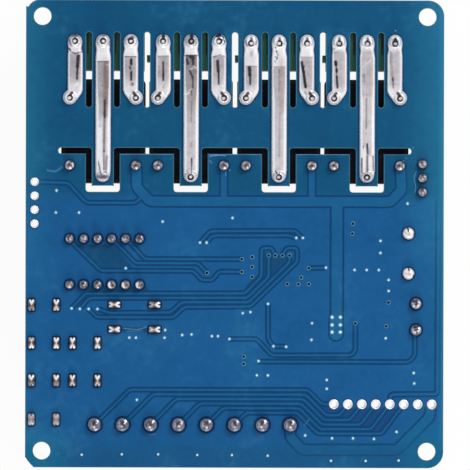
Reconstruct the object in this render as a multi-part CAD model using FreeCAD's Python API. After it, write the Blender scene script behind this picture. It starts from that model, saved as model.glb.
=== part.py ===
"""A four-channel relay module board with a display, lying solder side up.

X runs right and Y runs up the board as its solder side is looked at, and Z points out of
that side. The board rests on the tops of its relays and of its capacitor, so Z = 0 is the
surface under them. Heights called h are measured from the component face, away from the
board, and tails are measured from the solder face. All sizes are in millimetres.
"""
import FreeCAD, Part
import math
import os

# The bare board
board_thickness = 1.6
side_margin = 6.0            # from the outer channels to the board's sides
corner_radius = 2.9          # the two routed corners, on the right
top_snap = 2.3               # the corner broken off at the top left, along the top edge
top_snap_side = 1.25         # and along the side
top_snap_step = 0.45         # the small step that the break left
bottom_snap = 1.6            # the corner broken off at the bottom left, along the edge
bottom_snap_side = 1.9
mount_hole_diameter = 3.2
mount_hole_inset = 3.0
slot_width = 1.1             # the isolation slots routed through the board
slot_above_pins = 1.1        # the upright slots run past the terminal pins
slot_below_contacts = 1.18   # and past the relay's contact pins
cross_slot_above_coils = 2.67
cross_slot_end = 0.5         # how far the long slot runs past the outer relays
tongue_below_common = 2.15   # the foot of the loop round each common pin
bare_hole_diameter = 1.1     # holes that no part was put in
bare_row_pitch = 2.54
bare_side_row_inset = 1.63   # the row of four by the left edge
bare_side_row_below = 3.62   # its centre, below the relays
bare_side_row_count = 4
bare_low_row_inset = 11.6    # the row of eight by the bottom right corner
bare_low_row_end = 2.11      # its last hole, in from the right edge
bare_low_row_count = 8

# The four channels, each with a relay and a three-way terminal
channel_count = 4
output_ways = 3
output_row_inset = 7.5       # the terminal pins, in from the top edge
terminal_pitch = 5.08
contact_pins_below = 10.3    # the relay's fixed contact pins, below the terminal pins
common_pin_below = 2.1       # its common pin, below the coil pins

# Relay
relay_width = 15.2
relay_length = 18.9
relay_height = 15.6          # top of the cover above the component face
relay_gap = 0.8              # between one relay and the next
relay_end_margin = 3.4       # from the fixed contact pins to the outside of the cover
relay_near_margin = 1.1      # from the common pin to the other end of the cover
relay_pin_margin = 1.6       # from the outer pins to the sides of the cover
relay_standoff = 0.3
cover_wall = 0.8
cover_roof = 0.9
cover_edge_radius = 0.7
cover_headroom = 0.55        # over the highest contact strip
relay_base_thickness = 1.5
base_clearance = 0.05
base_foot = 1.2
base_foot_side = 0.8         # the feet's centres, in from the base's sides
base_foot_end = 3.4          # and in from its ends
yoke_thickness = 1.2
yoke_width = 9.0
bobbin_flange_radius = 4.4
bobbin_flange = 0.8
winding_radius = 3.9
core_radius = 1.5
pole_radius = 2.5
pole_thickness = 0.35
hinge_gap = 0.1              # between the yoke's top edge and the armature
armature_thickness = 1.0
armature_width = 8.0
armature_length = 10.4
pole_gap = 0.25
spring_thickness = 0.2
spring_width = 3.0
spring_start = 3.0           # from the yoke's back to the spring on the armature
spring_end = 0.2             # beyond its rivet
rivet_radius = 1.1
rivet_height = 0.25
contact_gap = 0.45           # moving contact to the contact that it closes
rest_gap = 0.05              # moving contact to the contact that it rests by
contact_strip = 0.4
contact_strip_width = 2.0
relay_pin_width = 1.2
relay_pin_thickness = 0.5
coil_pin_size = 0.6
coil_pin_rise = 1.0          # above the base, where the winding's ends are soldered
common_pin_rise = 3.0        # above the base, along the yoke's back

# Solder on the output side
bar_width = 2.7              # thick solder over the tracks that carry the switched current
long_bar_width = 2.8
bar_height = 0.9
bar_edge = 0.45
bar_mound = 1.5              # solder drawn up round each pin
bar_mound_top = 0.75
bar_jog = 1.6                # where an outer bar turns out to its relay pin, above that pin

# Screw terminals
housing_depth = 10.4
housing_height = 13.8
housing_back = 5.2           # from the pins to the side away from the wires
housing_trim = 0.2           # the end walls stop short of half a pitch
housing_gap = 1.16           # between one output terminal and the next
housing_shoulder = 3.2       # the step down to the wire side, from the top
housing_step = 1.7
housing_slope = 0.9          # rise of the shoulder behind the step
housing_front_bevel = 0.5
housing_back_bevel = 0.8
entry_width = 3.9
entry_height = 4.4
entry_sill = 1.6             # from the component face to the wire entry
well_diameter = 4.0          # the bore over each screw
screw_head_diameter = 3.6
screw_head_height = 1.6
screw_shank_diameter = 2.6
screw_shank_reach = 1.2      # into the wire entry
screw_gap = 0.15             # between the wire entry's roof and the head
screw_slot_width = 0.6
screw_slot_depth = 0.8
clamp_depth = 5.4
clamp_wall = 0.5
clamp_clearance = 0.1        # all round, in the wire entry
terminal_pin_width = 1.0
terminal_pin_thickness = 0.8
interlock_reach = 0.62       # of the rib on a housing's side, towards the next housing
interlock_share = 0.7        # its height as a share of the housing's
interlock_length = 1.2
interlock_from_back = 1.5
input_count = 8
input_row_inset = 7.8        # the input terminal's pins, in from the bottom edge
input_first_inset = 12.65    # its first pin, in from the left edge

# Display
display_width = 22.6
display_depth = 10.0
display_height = 6.1
display_pins = 6
display_pin_pitch = 2.54
display_row_spacing = 8.35
display_inset = 14.4         # its centre, in from the left edge
display_below_relays = 9.32  # from the relays to its upper side
display_pin_size = 0.5
display_pin_rise = 1.0       # into the case
digit_count = 3
digit_height = 7.0
digit_width = 4.0
digit_stroke = 0.75
digit_relief = 0.12
digit_pitch = 7.2
digit_gap = 0.1              # between the bars of a digit

# Push buttons
button_body = 6.0
button_body_height = 3.4
button_plate = 0.3           # the steel plate over the housing
button_plunger_diameter = 3.5
button_total_height = 5.0
button_plunger_clearance = 0.15
button_flange = 0.5
button_flange_thickness = 0.6
button_well_floor = 1.2
button_leg_span = 6.5
button_leg_spacing = 4.5
button_leg_width = 0.7
button_leg_thickness = 0.3
pad_length = 2.1             # the oblong solder pads of the legs
pad_width = 1.25
pad_height = 0.7
pad_crest = 0.22             # how far the pads' sides slope in
pad_shift = 0.2              # the pads reach a little further out than the legs
button_leg_tail = 0.95       # the legs' ends above the solder face
button_left_inset = 3.4      # two buttons by the left edge
button_left_high_below = 6.33            # below the display
button_left_low_below = 20.13
button_middle_inset = 10.9
button_middle_below = 13.18
button_right_inset = 19.85   # the one that is turned sideways
button_right_below = 5.08
terminal_below_display = 19.38           # from the display to the back of the input terminal

# Parts by the right edge
header_pins = 3
header_pitch = 2.54
header_inset = 3.9
header_above_edge = 1.0      # its centre, past the relays' lower edge
header_base = 2.5
header_pin_size = 0.64
header_pin_height = 8.5
choke_inset = 6.4
choke_below_relays = 12.7
choke_pin_spacing = 7.28
choke_diameter = 11.6
choke_height = 11.5
choke_flange = 1.6
choke_standoff = 0.6
choke_waist = 6.0
choke_winding_diameter = 10.4
choke_lead_diameter = 1.0
capacitor_inset = 5.0
capacitor_below_relays = 24.2
capacitor_pin_spacing = 4.8
capacitor_diameter = 10.0
capacitor_sleeve = 0.2
capacitor_bung = 1.6
capacitor_bead = 0.35        # depth of the groove rolled round the can over the bung
capacitor_bead_height = 2.8
capacitor_bead_side = 0.5    # from the middle of the groove to the can's full width
capacitor_edge = 0.5         # bevel round the can's end
capacitor_wall = 0.3
capacitor_vent_share = 0.7   # of the diameter
capacitor_vent_width = 0.4
capacitor_vent_depth = 0.2
capacitor_lead_diameter = 0.7

# Small parts on the component face
leg_thickness = 0.25
leg_shoulder = 0.35          # where a leg turns down, as a share of its reach
leg_heel = 0.5               # where it meets the board
package_standoff = 0.1
chip_length = 12.8           # the controller
chip_depth = 7.5
chip_height = 2.65
chip_span = 10.3             # over its legs
chip_legs = 10               # along each side
chip_leg_width = 0.41
fine_pitch = 1.27
chip_from_middle = 7.4
chip_below_relays = 15.7
converter_length = 4.9
converter_depth = 3.9
converter_height = 1.6
converter_span = 6.0
converter_legs = 4
converter_from_middle = 22.3
converter_below_relays = 8.6
regulator_length = 6.5
regulator_depth = 3.5
regulator_height = 1.6
regulator_span = 7.0
regulator_leg_pitch = 2.3
regulator_leg_width = 0.7
regulator_tab = 3.0
regulator_from_middle = 18.45
regulator_below_relays = 25.5
driver_row_below = 3.6       # the row of small parts, below the relays
transistor_length = 2.9
transistor_depth = 1.4
transistor_height = 1.0
transistor_span = 2.5
transistor_leg_side = 0.95
transistor_side = 3.4        # from the channel's centre
diode_length = 4.3
diode_depth = 2.6
diode_height = 2.1
diode_cap = 0.4
diode_cap_width = 1.5
diode_side = 3.4             # on the other side of the channel's centre
lamp_length = 1.2
lamp_depth = 1.3
lamp_height = 0.7
lamp_cap = 0.35
lamp_side = 6.9

# Solder joints
joint_height = 1.15
joint_top = 0.45             # radius at the top as a share of the foot
pin_tail = 1.4
relay_joint_radius = 0.98
display_joint_radius = 0.92
input_joint_radius = 1.4
choke_joint_radius = 1.15
capacitor_joint_radius = 0.95
header_joint_radius = 0.9

# Sizes, levels and rows that follow from the sizes above
housing_width = output_ways * terminal_pitch - 2 * housing_trim
channel_pitch = max(relay_width + relay_gap, housing_width + housing_gap)
board_width = channel_count * channel_pitch + 2 * side_margin
relay_pin_side = relay_width / 2 - relay_pin_margin
coil_pins_below = relay_length - relay_end_margin - relay_near_margin - common_pin_below
upper_depth = output_row_inset + contact_pins_below + relay_length - relay_end_margin
lower_depth = terminal_below_display + housing_back + input_row_inset
board_depth = upper_depth + display_below_relays + display_depth + lower_depth
mount_spacing_x = board_width - 2 * mount_hole_inset
mount_spacing_y = board_depth - 2 * mount_hole_inset
face = relay_height
solder_face = face + board_thickness
left, right = -board_width / 2, board_width / 2
bottom, top = -board_depth / 2, board_depth / 2
output_row = top - output_row_inset
contact_row = output_row - contact_pins_below
coil_row = contact_row - coil_pins_below
common_row = coil_row - common_pin_below
relay_far = contact_row + relay_end_margin
relay_near = relay_far - relay_length
relay_middle = (relay_near + relay_far) / 2
input_row = bottom + input_row_inset
display_x = left + display_inset
display_y = relay_near - display_below_relays - display_depth / 2
display_low = display_y - display_depth / 2
header_y = relay_near + header_above_edge
choke_x = right - choke_inset
choke_y = relay_near - choke_below_relays
capacitor_x = right - capacitor_inset
capacitor_y = relay_near - capacitor_below_relays
driver_row = relay_near - driver_row_below
slot_side = terminal_pitch / 2
slot_high = output_row + slot_above_pins
slot_low = contact_row - slot_below_contacts
cross_slot_row = coil_row + cross_slot_above_coils
tongue_low = common_row - tongue_below_common
channels = [(i - (channel_count - 1) / 2) * channel_pitch for i in range(channel_count)]
ways = [(k - (output_ways - 1) / 2) * terminal_pitch for k in range(output_ways)]
input_pins = [left + input_first_inset + k * terminal_pitch for k in range(input_count)]
button_places = (            # the centre of each push button, and whether it is turned sideways
    (left + button_left_inset, display_low - button_left_high_below, False),
    (left + button_left_inset, display_low - button_left_low_below, False),
    (left + button_middle_inset, display_low - button_middle_below, False),
    (left + button_right_inset, display_low - button_right_below, True),
)


def vector(x, y, z):
    return FreeCAD.Vector(x, y, z)


def box(x0, x1, y0, y1, z0, z1):
    return Part.makeBox(x1 - x0, y1 - y0, z1 - z0, vector(x0, y0, z0))


def under(x, y, width, depth, h0, h1):
    """A block on the component face, centred at x, y, from height h0 to h1."""
    return box(x - width / 2, x + width / 2, y - depth / 2, y + depth / 2, face - h1, face - h0)


def over(x, y, width, depth, t0, t1):
    """A block on the solder face, centred at x, y, from t0 to t1 above it."""
    low, high = solder_face + t0, solder_face + t1
    return box(x - width / 2, x + width / 2, y - depth / 2, y + depth / 2, low, high)


def between(xa, xb, ya, yb, h0, h1):
    """A block on the component face between two corners given in any order."""
    return box(min(xa, xb), max(xa, xb), min(ya, yb), max(ya, yb), face - h1, face - h0)


def rod_under(x, y, radius, h0, h1):
    return Part.makeCylinder(radius, h1 - h0, vector(x, y, face - h1))


def through(x, y, width, depth, h, tail=pin_tail):
    """A flat pin that goes from height h through the board to its tail."""
    low, high = face - h, solder_face + tail
    return box(x - width / 2, x + width / 2, y - depth / 2, y + depth / 2, low, high)


def fuse(shapes):
    return shapes[0].multiFuse(shapes[1:]).removeSplitter()


def prism_x(points, x0, x1):
    """An outline of (y, h) points, carried along X."""
    corners = [vector(x0, y, face - h) for y, h in points]
    return Part.Face(Part.makePolygon(corners + corners[:1])).extrude(vector(x1 - x0, 0, 0))


def turned(points, x, y):
    """An outline of (radius, z) points, turned about the upright axis at x, y."""
    corners = [vector(x + r, y, z) for r, z in points]
    profile = Part.Face(Part.makePolygon(corners + corners[:1]))
    return profile.revolve(vector(x, y, 0), vector(0, 0, 1), 360)


def round_uprights(shape, radius):
    """Rounds the upright edges of a block."""
    edges = [edge for edge in shape.Edges if abs(edge.tangentAt(edge.FirstParameter).z) > 0.99]
    return shape.makeFillet(radius, edges)


def capsule(x0, y0, x1, y1, width, z0, z1):
    """A straight slot or bar with round ends, between two centre points."""
    length = math.hypot(x1 - x0, y1 - y0)
    half = width / 2
    start, middle, end = vector(half, 0, 0), vector(0, half, 0), vector(-half, 0, 0)
    far_start, far_end = vector(-half, -length, 0), vector(half, -length, 0)
    far_middle = vector(0, -length - half, 0)
    edges = [
        Part.Arc(start, middle, end).toShape(),
        Part.makeLine(end, far_start),
        Part.Arc(far_start, far_middle, far_end).toShape(),
        Part.makeLine(far_end, start),
    ]
    shape = Part.Face(Part.Wire(edges)).extrude(vector(0, 0, z1 - z0))
    angle = math.degrees(math.atan2(y1 - y0, x1 - x0)) + 90
    shape.rotate(vector(0, 0, 0), vector(0, 0, 1), angle)
    shape.translate(vector(x0, y0, z0))
    return shape


def circle_slot(points, width, z0, z1):
    """A slot along a run of points: round outside at each turn and at both ends."""
    runs = []
    for (x0, y0), (x1, y1) in zip(points, points[1:]):
        low_x, high_x = min(x0, x1), max(x0, x1)
        low_y, high_y = min(y0, y1), max(y0, y1)
        half_x = width / 2 if low_x == high_x else 0
        half_y = width / 2 if low_y == high_y else 0
        runs.append(box(low_x - half_x, high_x + half_x, low_y - half_y, high_y + half_y, z0, z1))
    turns = [Part.makeCylinder(width / 2, z1 - z0, vector(x, y, z0)) for x, y in points]
    return fuse(runs + turns)


# Where the pins pass through the board: x, y, width and depth
def relay_pin_places():
    places = []
    for x in channels:
        places.append((x, common_row, relay_pin_width, relay_pin_thickness))
        for side in (-relay_pin_side, relay_pin_side):
            places.append((x + side, contact_row, relay_pin_width, relay_pin_thickness))
    return places


def coil_pin_places():
    return [(x + side, coil_row, coil_pin_size, coil_pin_size)
            for x in channels for side in (-relay_pin_side, relay_pin_side)]


def output_pin_places():
    return [(x + way, output_row, terminal_pin_width, terminal_pin_thickness)
            for x in channels for way in ways]


def input_pin_places():
    return [(x, input_row, terminal_pin_width, terminal_pin_thickness) for x in input_pins]


def display_pin_places():
    x0 = left + display_inset - (display_pins - 1) / 2 * display_pin_pitch
    return [(x0 + k * display_pin_pitch, display_y + row, display_pin_size, display_pin_size)
            for row in (display_row_spacing / 2, -display_row_spacing / 2) for k in range(display_pins)]


def header_pin_places():
    rows = [header_y + (k - (header_pins - 1) / 2) * header_pitch for k in range(header_pins)]
    return [(right - header_inset, y, header_pin_size, header_pin_size) for y in rows]


def button_leg_places(button):
    """The four legs of one push button, with the way that each pad points."""
    x, y, sideways = button
    places = []
    for end in (-1, 1):
        for side in (-1, 1):
            along, across = end * button_leg_span / 2, side * button_leg_spacing / 2
            if sideways:
                places.append((x + along, y + across, button_leg_thickness, button_leg_width, end, 0))
            else:
                places.append((x + across, y + along, button_leg_width, button_leg_thickness, 0, end))
    return places


def round_lead_places():
    """The round leads of the choke and of the capacitor: x, y and radius."""
    places = []
    for end in (-0.5, 0.5):
        places.append((choke_x, choke_y + end * choke_pin_spacing, choke_lead_diameter / 2))
        places.append((capacitor_x, capacitor_y + end * capacitor_pin_spacing, capacitor_lead_diameter / 2))
    return places


def bare_holes():
    side_x, side_y = left + bare_side_row_inset, relay_near - bare_side_row_below
    low_x, low_y = right - bare_low_row_end, bottom + bare_low_row_inset
    middle = (bare_side_row_count - 1) / 2
    side = [(side_x, side_y + (k - middle) * bare_row_pitch) for k in range(bare_side_row_count)]
    low = [(low_x - k * bare_row_pitch, low_y) for k in range(bare_low_row_count)]
    return side + low


def isolation_slots():
    z0, z1 = face, solder_face
    cutters = []
    for x in channels:
        for side in (-slot_side, slot_side):
            cutters.append(capsule(x + side, slot_low, x + side, slot_high, slot_width, z0, z1))
    for x0, x1 in zip(channels, channels[1:]):
        middle = (x0 + x1) / 2
        cutters.append(capsule(middle, slot_low, middle, slot_high, slot_width, z0, z1))
    reach = relay_width / 2 + cross_slot_end - slot_width / 2
    points = [(channels[0] - reach, cross_slot_row)]
    for x in channels:
        points += [(x - slot_side, cross_slot_row), (x - slot_side, tongue_low)]
        points += [(x + slot_side, tongue_low), (x + slot_side, cross_slot_row)]
    points.append((channels[-1] + reach, cross_slot_row))
    cutters.append(circle_slot(points, slot_width, z0, z1))
    return cutters


def board_outline():
    """Two routed corners on the right, and two broken ones on the left."""
    r = corner_radius
    bend = r * (1 - math.sqrt(0.5))
    edges = []

    def line(a, b):
        edges.append(Part.makeLine(vector(*a, face), vector(*b, face)))

    def arc(a, middle, b):
        edges.append(Part.Arc(vector(*a, face), vector(*middle, face), vector(*b, face)).toShape())

    line((left, bottom + bottom_snap_side), (left, top - top_snap_side))
    line((left, top - top_snap_side), (left + top_snap_step, top - top_snap_side))
    arc((left + top_snap_step, top - top_snap_side),
        (left + top_snap_step + 0.45 * (top_snap - top_snap_step), top - 0.28 * top_snap_side),
        (left + top_snap, top))
    line((left + top_snap, top), (right - r, top))
    arc((right - r, top), (right - bend, top - bend), (right, top - r))
    line((right, top - r), (right, bottom + r))
    arc((right, bottom + r), (right - bend, bottom + bend), (right - r, bottom))
    line((right - r, bottom), (left + bottom_snap, bottom))
    arc((left + bottom_snap, bottom),
        (left + 0.42 * bottom_snap, bottom + 0.5 * bottom_snap_side),
        (left, bottom + bottom_snap_side))
    return Part.Wire(edges)


def board():
    """The glass-fibre board, with its slots, its mounting holes and a hole for each pin."""
    plate = Part.Face(board_outline()).extrude(vector(0, 0, board_thickness))
    cutters = isolation_slots()
    for x in (-mount_spacing_x / 2, mount_spacing_x / 2):
        for y in (-mount_spacing_y / 2, mount_spacing_y / 2):
            cutters.append(Part.makeCylinder(mount_hole_diameter / 2, board_thickness, vector(x, y, face)))
    for x, y in bare_holes():
        cutters.append(Part.makeCylinder(bare_hole_diameter / 2, board_thickness, vector(x, y, face)))
    flat_pins = relay_pin_places() + coil_pin_places() + output_pin_places() + input_pin_places()
    flat_pins += display_pin_places() + header_pin_places()
    for button in button_places:
        flat_pins += [leg[:4] for leg in button_leg_places(button)]
    for x, y, width, depth in flat_pins:
        cutters.append(under(x, y, width, depth, -board_thickness, 0))
    for x, y, radius in round_lead_places():
        cutters.append(Part.makeCylinder(radius, board_thickness, vector(x, y, face)))
    return plate.cut(Part.makeCompound(cutters))


# Solder
def solder_mound(x, y, foot, z_foot, z_top):
    """Solder drawn up round a pin as a cone."""
    return Part.makeCone(foot, foot * joint_top, z_top - z_foot, vector(x, y, z_foot))


def pin_joints(places, radius):
    joints = []
    for x, y, width, depth in places:
        mound = solder_mound(x, y, radius, solder_face, solder_face + joint_height)
        joints.append(mound.cut(over(x, y, width, depth, 0, joint_height)))
    return joints


def lead_joints():
    joints = []
    for x, y, lead in round_lead_places():
        foot = choke_joint_radius if lead == choke_lead_diameter / 2 else capacitor_joint_radius
        mound = solder_mound(x, y, foot, solder_face, solder_face + joint_height)
        joints.append(mound.cut(Part.makeCylinder(lead, joint_height, vector(x, y, solder_face))))
    return joints


def small_joints():
    shapes = pin_joints(coil_pin_places(), relay_joint_radius)
    shapes += pin_joints(display_pin_places(), display_joint_radius)
    shapes += pin_joints(header_pin_places(), header_joint_radius)
    return Part.makeCompound(shapes + lead_joints())


def input_joints():
    return Part.makeCompound(pin_joints(input_pin_places(), input_joint_radius))


def bar(points, width, pins):
    """One thick bar of solder, with a mound round the pin at each end."""
    z0, z1 = solder_face, solder_face + bar_height
    runs = [capsule(*a, *b, width, z0, z1) for a, b in zip(points, points[1:])]
    body = fuse(runs) if len(runs) > 1 else runs[0]
    rim = [edge for edge in body.Edges if edge.BoundBox.ZMin > z1 - 0.01]
    body = body.makeChamfer(bar_edge, rim)
    mounds = [Part.makeCone(width / 2 - bar_edge, bar_mound_top, bar_mound - bar_height, vector(*point, z1))
              for point in (points[0], points[-1])]
    body = fuse([body] + mounds)
    for x, y, pin_width, pin_depth in pins:
        body = body.cut(over(x, y, pin_width, pin_depth, 0, bar_mound))
    return body


def solder_bars():
    """Three bars a channel: outer ones to the fixed contacts, a long one to the common pin."""
    bars = []
    output_size = (terminal_pin_width, terminal_pin_thickness)
    relay_size = (relay_pin_width, relay_pin_thickness)
    for x in channels:
        for way, side in ((-terminal_pitch, -relay_pin_side), (terminal_pitch, relay_pin_side)):
            points = [(x + way, output_row), (x + way, contact_row + bar_jog), (x + side, contact_row)]
            pins = [(x + way, output_row, *output_size), (x + side, contact_row, *relay_size)]
            bars.append(bar(points, bar_width, pins))
        pins = [(x, output_row, *output_size), (x, common_row, *relay_size)]
        bars.append(bar([(x, output_row), (x, common_row)], long_bar_width, pins))
    return Part.makeCompound(bars)


def button_joints():
    """Oblong pads of solder with sloping sides, round the legs of the push buttons."""
    pads = []
    for button in button_places:
        for x, y, width, depth, out_x, out_y in button_leg_places(button):
            long_x = abs(out_x) == 1
            size = (pad_length, pad_width) if long_x else (pad_width, pad_length)
            cx, cy = x + out_x * pad_shift, y + out_y * pad_shift
            rings = []
            for inset, z in ((0, solder_face), (pad_crest, solder_face + pad_height)):
                half_x, half_y = size[0] / 2 - inset, size[1] / 2 - inset
                ring = [vector(cx + i * half_x, cy + j * half_y, z)
                        for i, j in ((-1, -1), (1, -1), (1, 1), (-1, 1))]
                rings.append(Part.makePolygon(ring + ring[:1]))
            loft = Part.makeLoft(rings, True, True)
            pads.append(loft.cut(over(x, y, width, depth, 0, pad_height)))
    return Part.makeCompound(pads)


# Levels inside a relay, as heights from the component face
base_top = relay_standoff + relay_base_thickness
flange_low = base_top + yoke_thickness
resting_strip = relay_height - cover_roof - cover_headroom - contact_strip
resting_contact = resting_strip - rivet_height
spring_top = resting_contact - rest_gap - rivet_height
armature_top = spring_top - spring_thickness
armature_low = armature_top - armature_thickness
pole_top = armature_low - pole_gap
flange_top = pole_top - pole_thickness
closing_contact = armature_top - rivet_height - contact_gap
closing_strip = closing_contact - rivet_height - contact_strip
yoke_back = common_row + relay_pin_thickness / 2
yoke_front = yoke_back + yoke_thickness
coil_centre = yoke_front + bobbin_flange_radius


def relay_cover(x):
    """The moulded cover: five walls with rounded edges, open towards the board."""
    outer = under(x, relay_middle, relay_width, relay_length, relay_standoff, relay_height)
    outer = round_uprights(outer, cover_edge_radius)
    inner = under(x, relay_middle, relay_width - 2 * cover_wall, relay_length - 2 * cover_wall,
                  relay_standoff, relay_height - cover_roof)
    return outer.cut(inner)


def relay_base(x):
    """The moulded base that closes the cover, with four feet and a slit for each pin."""
    width = relay_width - 2 * (cover_wall + base_clearance)
    length = relay_length - 2 * (cover_wall + base_clearance)
    plate = under(x, relay_middle, width, length, relay_standoff, base_top)
    foot_x, foot_y = width / 2 - base_foot_side, length / 2 - base_foot_end
    feet = [under(x + i * foot_x, relay_middle + j * foot_y, base_foot, base_foot, 0, relay_standoff)
            for i in (-1, 1) for j in (-1, 1)]
    plate = fuse([plate] + feet)
    cutters = [under(px, py, pw, pd, 0, base_top) for px, py, pw, pd in relay_pin_places() + coil_pin_places()
               if abs(px - x) < channel_pitch / 2]
    return plate.cut(Part.makeCompound(cutters))


def relay_coil(x):
    """The wound bobbin: two flanges with the winding between them, round the core."""
    low, high = face - flange_top, face - flange_low
    points = [
        (core_radius, low), (bobbin_flange_radius, low), (bobbin_flange_radius, low + bobbin_flange),
        (winding_radius, low + bobbin_flange), (winding_radius, high - bobbin_flange),
        (bobbin_flange_radius, high - bobbin_flange), (bobbin_flange_radius, high), (core_radius, high),
    ]
    return turned(points, x, coil_centre)


def relay_magnet(x):
    """The bent yoke with the core riveted in it, and the pole on the core's end."""
    foot_end = coil_centre + bobbin_flange_radius
    top_edge = armature_low - hinge_gap
    strap = prism_x([
        (yoke_back, base_top), (foot_end, base_top), (foot_end, base_top + yoke_thickness),
        (yoke_front, base_top + yoke_thickness), (yoke_front, top_edge), (yoke_back, top_edge),
    ], x - yoke_width / 2, x + yoke_width / 2)
    core = rod_under(x, coil_centre, core_radius, base_top, flange_top)
    pole = rod_under(x, coil_centre, pole_radius, flange_top, pole_top)
    return fuse([strap, core, pole])


def relay_armature(x):
    """The armature plate, with its contact spring and a rivet on each face of the spring."""
    plate = under(x, yoke_back + armature_length / 2, armature_width, armature_length,
                  armature_low, armature_top)
    spring = between(x - spring_width / 2, x + spring_width / 2, yoke_back + spring_start,
                     contact_row + rivet_radius + spring_end, armature_top, spring_top)
    rivet = rod_under(x, contact_row, rivet_radius, armature_top - rivet_height, spring_top + rivet_height)
    return fuse([plate, spring, rivet])


def fixed_contact(x, side, rivet_low, strip_low):
    """A fixed contact: its rivet, on a strip that runs out to the pin on that side."""
    strip_high = strip_low + contact_strip
    half = contact_strip_width / 2
    strip = between(x - side * rivet_radius, x + side * (relay_pin_side + relay_pin_width / 2),
                    contact_row - half, contact_row + half, strip_low, strip_high)
    post = through(x + side * relay_pin_side, contact_row, relay_pin_width, relay_pin_thickness, strip_high)
    rivet = rod_under(x, contact_row, rivet_radius, rivet_low, rivet_low + rivet_height)
    return fuse([strip, post, rivet])


def relay_pins():
    """The pins of all relays: fixed contacts, common pins by the yokes, and coil pins."""
    pins = []
    for x in channels:
        pins.append(fixed_contact(x, -1, resting_contact, resting_strip))
        pins.append(fixed_contact(x, 1, closing_contact - rivet_height, closing_strip))
        pins.append(through(x, common_row, relay_pin_width, relay_pin_thickness, base_top + common_pin_rise))
    for x, y, width, depth in coil_pin_places():
        pins.append(through(x, y, width, depth, base_top + coil_pin_rise))
    return Part.makeCompound(pins)


# Screw terminals. Towards is +1 where the wires enter from the top edge, -1 from the bottom edge
def terminal_profile(row, towards):
    """The housing's side: a tall back for the screws and a lower shelf on the wire side."""
    back = row - towards * housing_back
    front = back + towards * housing_depth
    shelf = front - towards * housing_step
    shoulder = housing_height - housing_shoulder
    return [
        (back, 0), (front, 0), (front, shoulder), (shelf, shoulder + housing_slope),
        (shelf, housing_height - housing_front_bevel),
        (shelf - towards * housing_front_bevel, housing_height),
        (back + towards * housing_back_bevel, housing_height),
        (back, housing_height - housing_back_bevel),
    ]


def terminal_housing(pins, row, towards):
    """A moulded housing with a screw well and a square wire entry for each way."""
    margin = terminal_pitch / 2 - housing_trim
    body = prism_x(terminal_profile(row, towards), pins[0] - margin, pins[-1] + margin)
    front = row + towards * (housing_depth - housing_back)
    entry_top = entry_sill + entry_height
    cutters = []
    for x in pins:
        cutters.append(between(x - entry_width / 2, x + entry_width / 2,
                               front, row - towards * clamp_depth / 2, entry_sill, entry_top))
        cutters.append(rod_under(x, row, well_diameter / 2, entry_top, housing_height))
        cutters.append(under(x, row, terminal_pin_width, terminal_pin_thickness, 0, entry_sill))
    return body.cut(Part.makeCompound(cutters))


def output_housing(index):
    """A three-way housing, with a rib that keeps it apart from the housing on its left."""
    x = channels[index]
    shape = terminal_housing([x + way for way in ways], output_row, 1)
    side = x - housing_width / 2
    start = output_row - housing_back + interlock_from_back
    if index > 0:
        rib = between(side - interlock_reach, side, start, start + interlock_length,
                      0, interlock_share * housing_height)
        shape = fuse([shape, rib])
    return shape


def terminal_clamps(pins, row):
    """The cage of each way: a square tube that the screw draws up on the wire."""
    cages = []
    low = entry_sill + clamp_clearance
    high = entry_sill + entry_height - clamp_clearance
    width = entry_width - 2 * clamp_clearance
    for x in pins:
        outer = under(x, row, width, clamp_depth - 2 * clamp_clearance, low, high)
        inner = under(x, row, width - 2 * clamp_wall, clamp_depth, low + clamp_wall, high - clamp_wall)
        screw = rod_under(x, row, screw_shank_diameter / 2, high - clamp_wall, high)
        cages.append(outer.cut(inner).cut(screw))
    return cages


def terminal_screws(pins, row):
    """Slotted screws, whose heads lie in the wells and whose shanks pass into the cages."""
    roof = entry_sill + entry_height
    head_low = roof + screw_gap
    head_high = head_low + screw_head_height
    screws = []
    for x in pins:
        head = rod_under(x, row, screw_head_diameter / 2, head_low, head_high)
        shank = rod_under(x, row, screw_shank_diameter / 2, roof - screw_shank_reach, head_low)
        slot = under(x, row, screw_head_diameter, screw_slot_width, head_high - screw_slot_depth, head_high)
        screws.append(fuse([head, shank]).cut(slot))
    return screws


def terminal_pins(places):
    rise = entry_sill + clamp_clearance
    return Part.makeCompound([through(x, y, width, depth, rise) for x, y, width, depth in places])


# Display
def digit_segments():
    """The seven bars of each digit, let into the display's face."""
    bars = []
    h0, h1 = display_height - digit_relief, display_height
    half_w, half_h = (digit_width - digit_stroke) / 2, (digit_height - digit_stroke) / 2
    flat = digit_width - 2 * (digit_stroke + digit_gap)
    upright = half_h - digit_stroke - 2 * digit_gap
    for digit in range(digit_count):
        x = display_x + (digit - (digit_count - 1) / 2) * digit_pitch
        for level in (-1, 0, 1):
            bars.append(under(x, display_y + level * half_h, flat, digit_stroke, h0, h1))
        for side in (-1, 1):
            for level in (-0.5, 0.5):
                bars.append(under(x + side * half_w, display_y + level * half_h, digit_stroke, upright,
                                  h0, h1))
    return bars


def display_housing():
    """The display's box, with a recess for each bar of its digits and a hole for each pin."""
    body = under(display_x, display_y, display_width, display_depth, 0, display_height)
    pin_holes = [under(x, y, w, d, 0, display_pin_rise) for x, y, w, d in display_pin_places()]
    return body.cut(Part.makeCompound(digit_segments() + pin_holes))


def display_pin_set():
    return Part.makeCompound([through(x, y, w, d, display_pin_rise) for x, y, w, d in display_pin_places()])


# Push buttons
plate_low = button_body_height - button_plate


def button_housing(button):
    """The black base of a push button, with a round well for the plunger."""
    x, y, _ = button
    body = under(x, y, button_body, button_body, 0, plate_low)
    radius = button_plunger_diameter / 2 + button_flange + button_plunger_clearance
    return body.cut(rod_under(x, y, radius, button_well_floor, plate_low))


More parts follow.
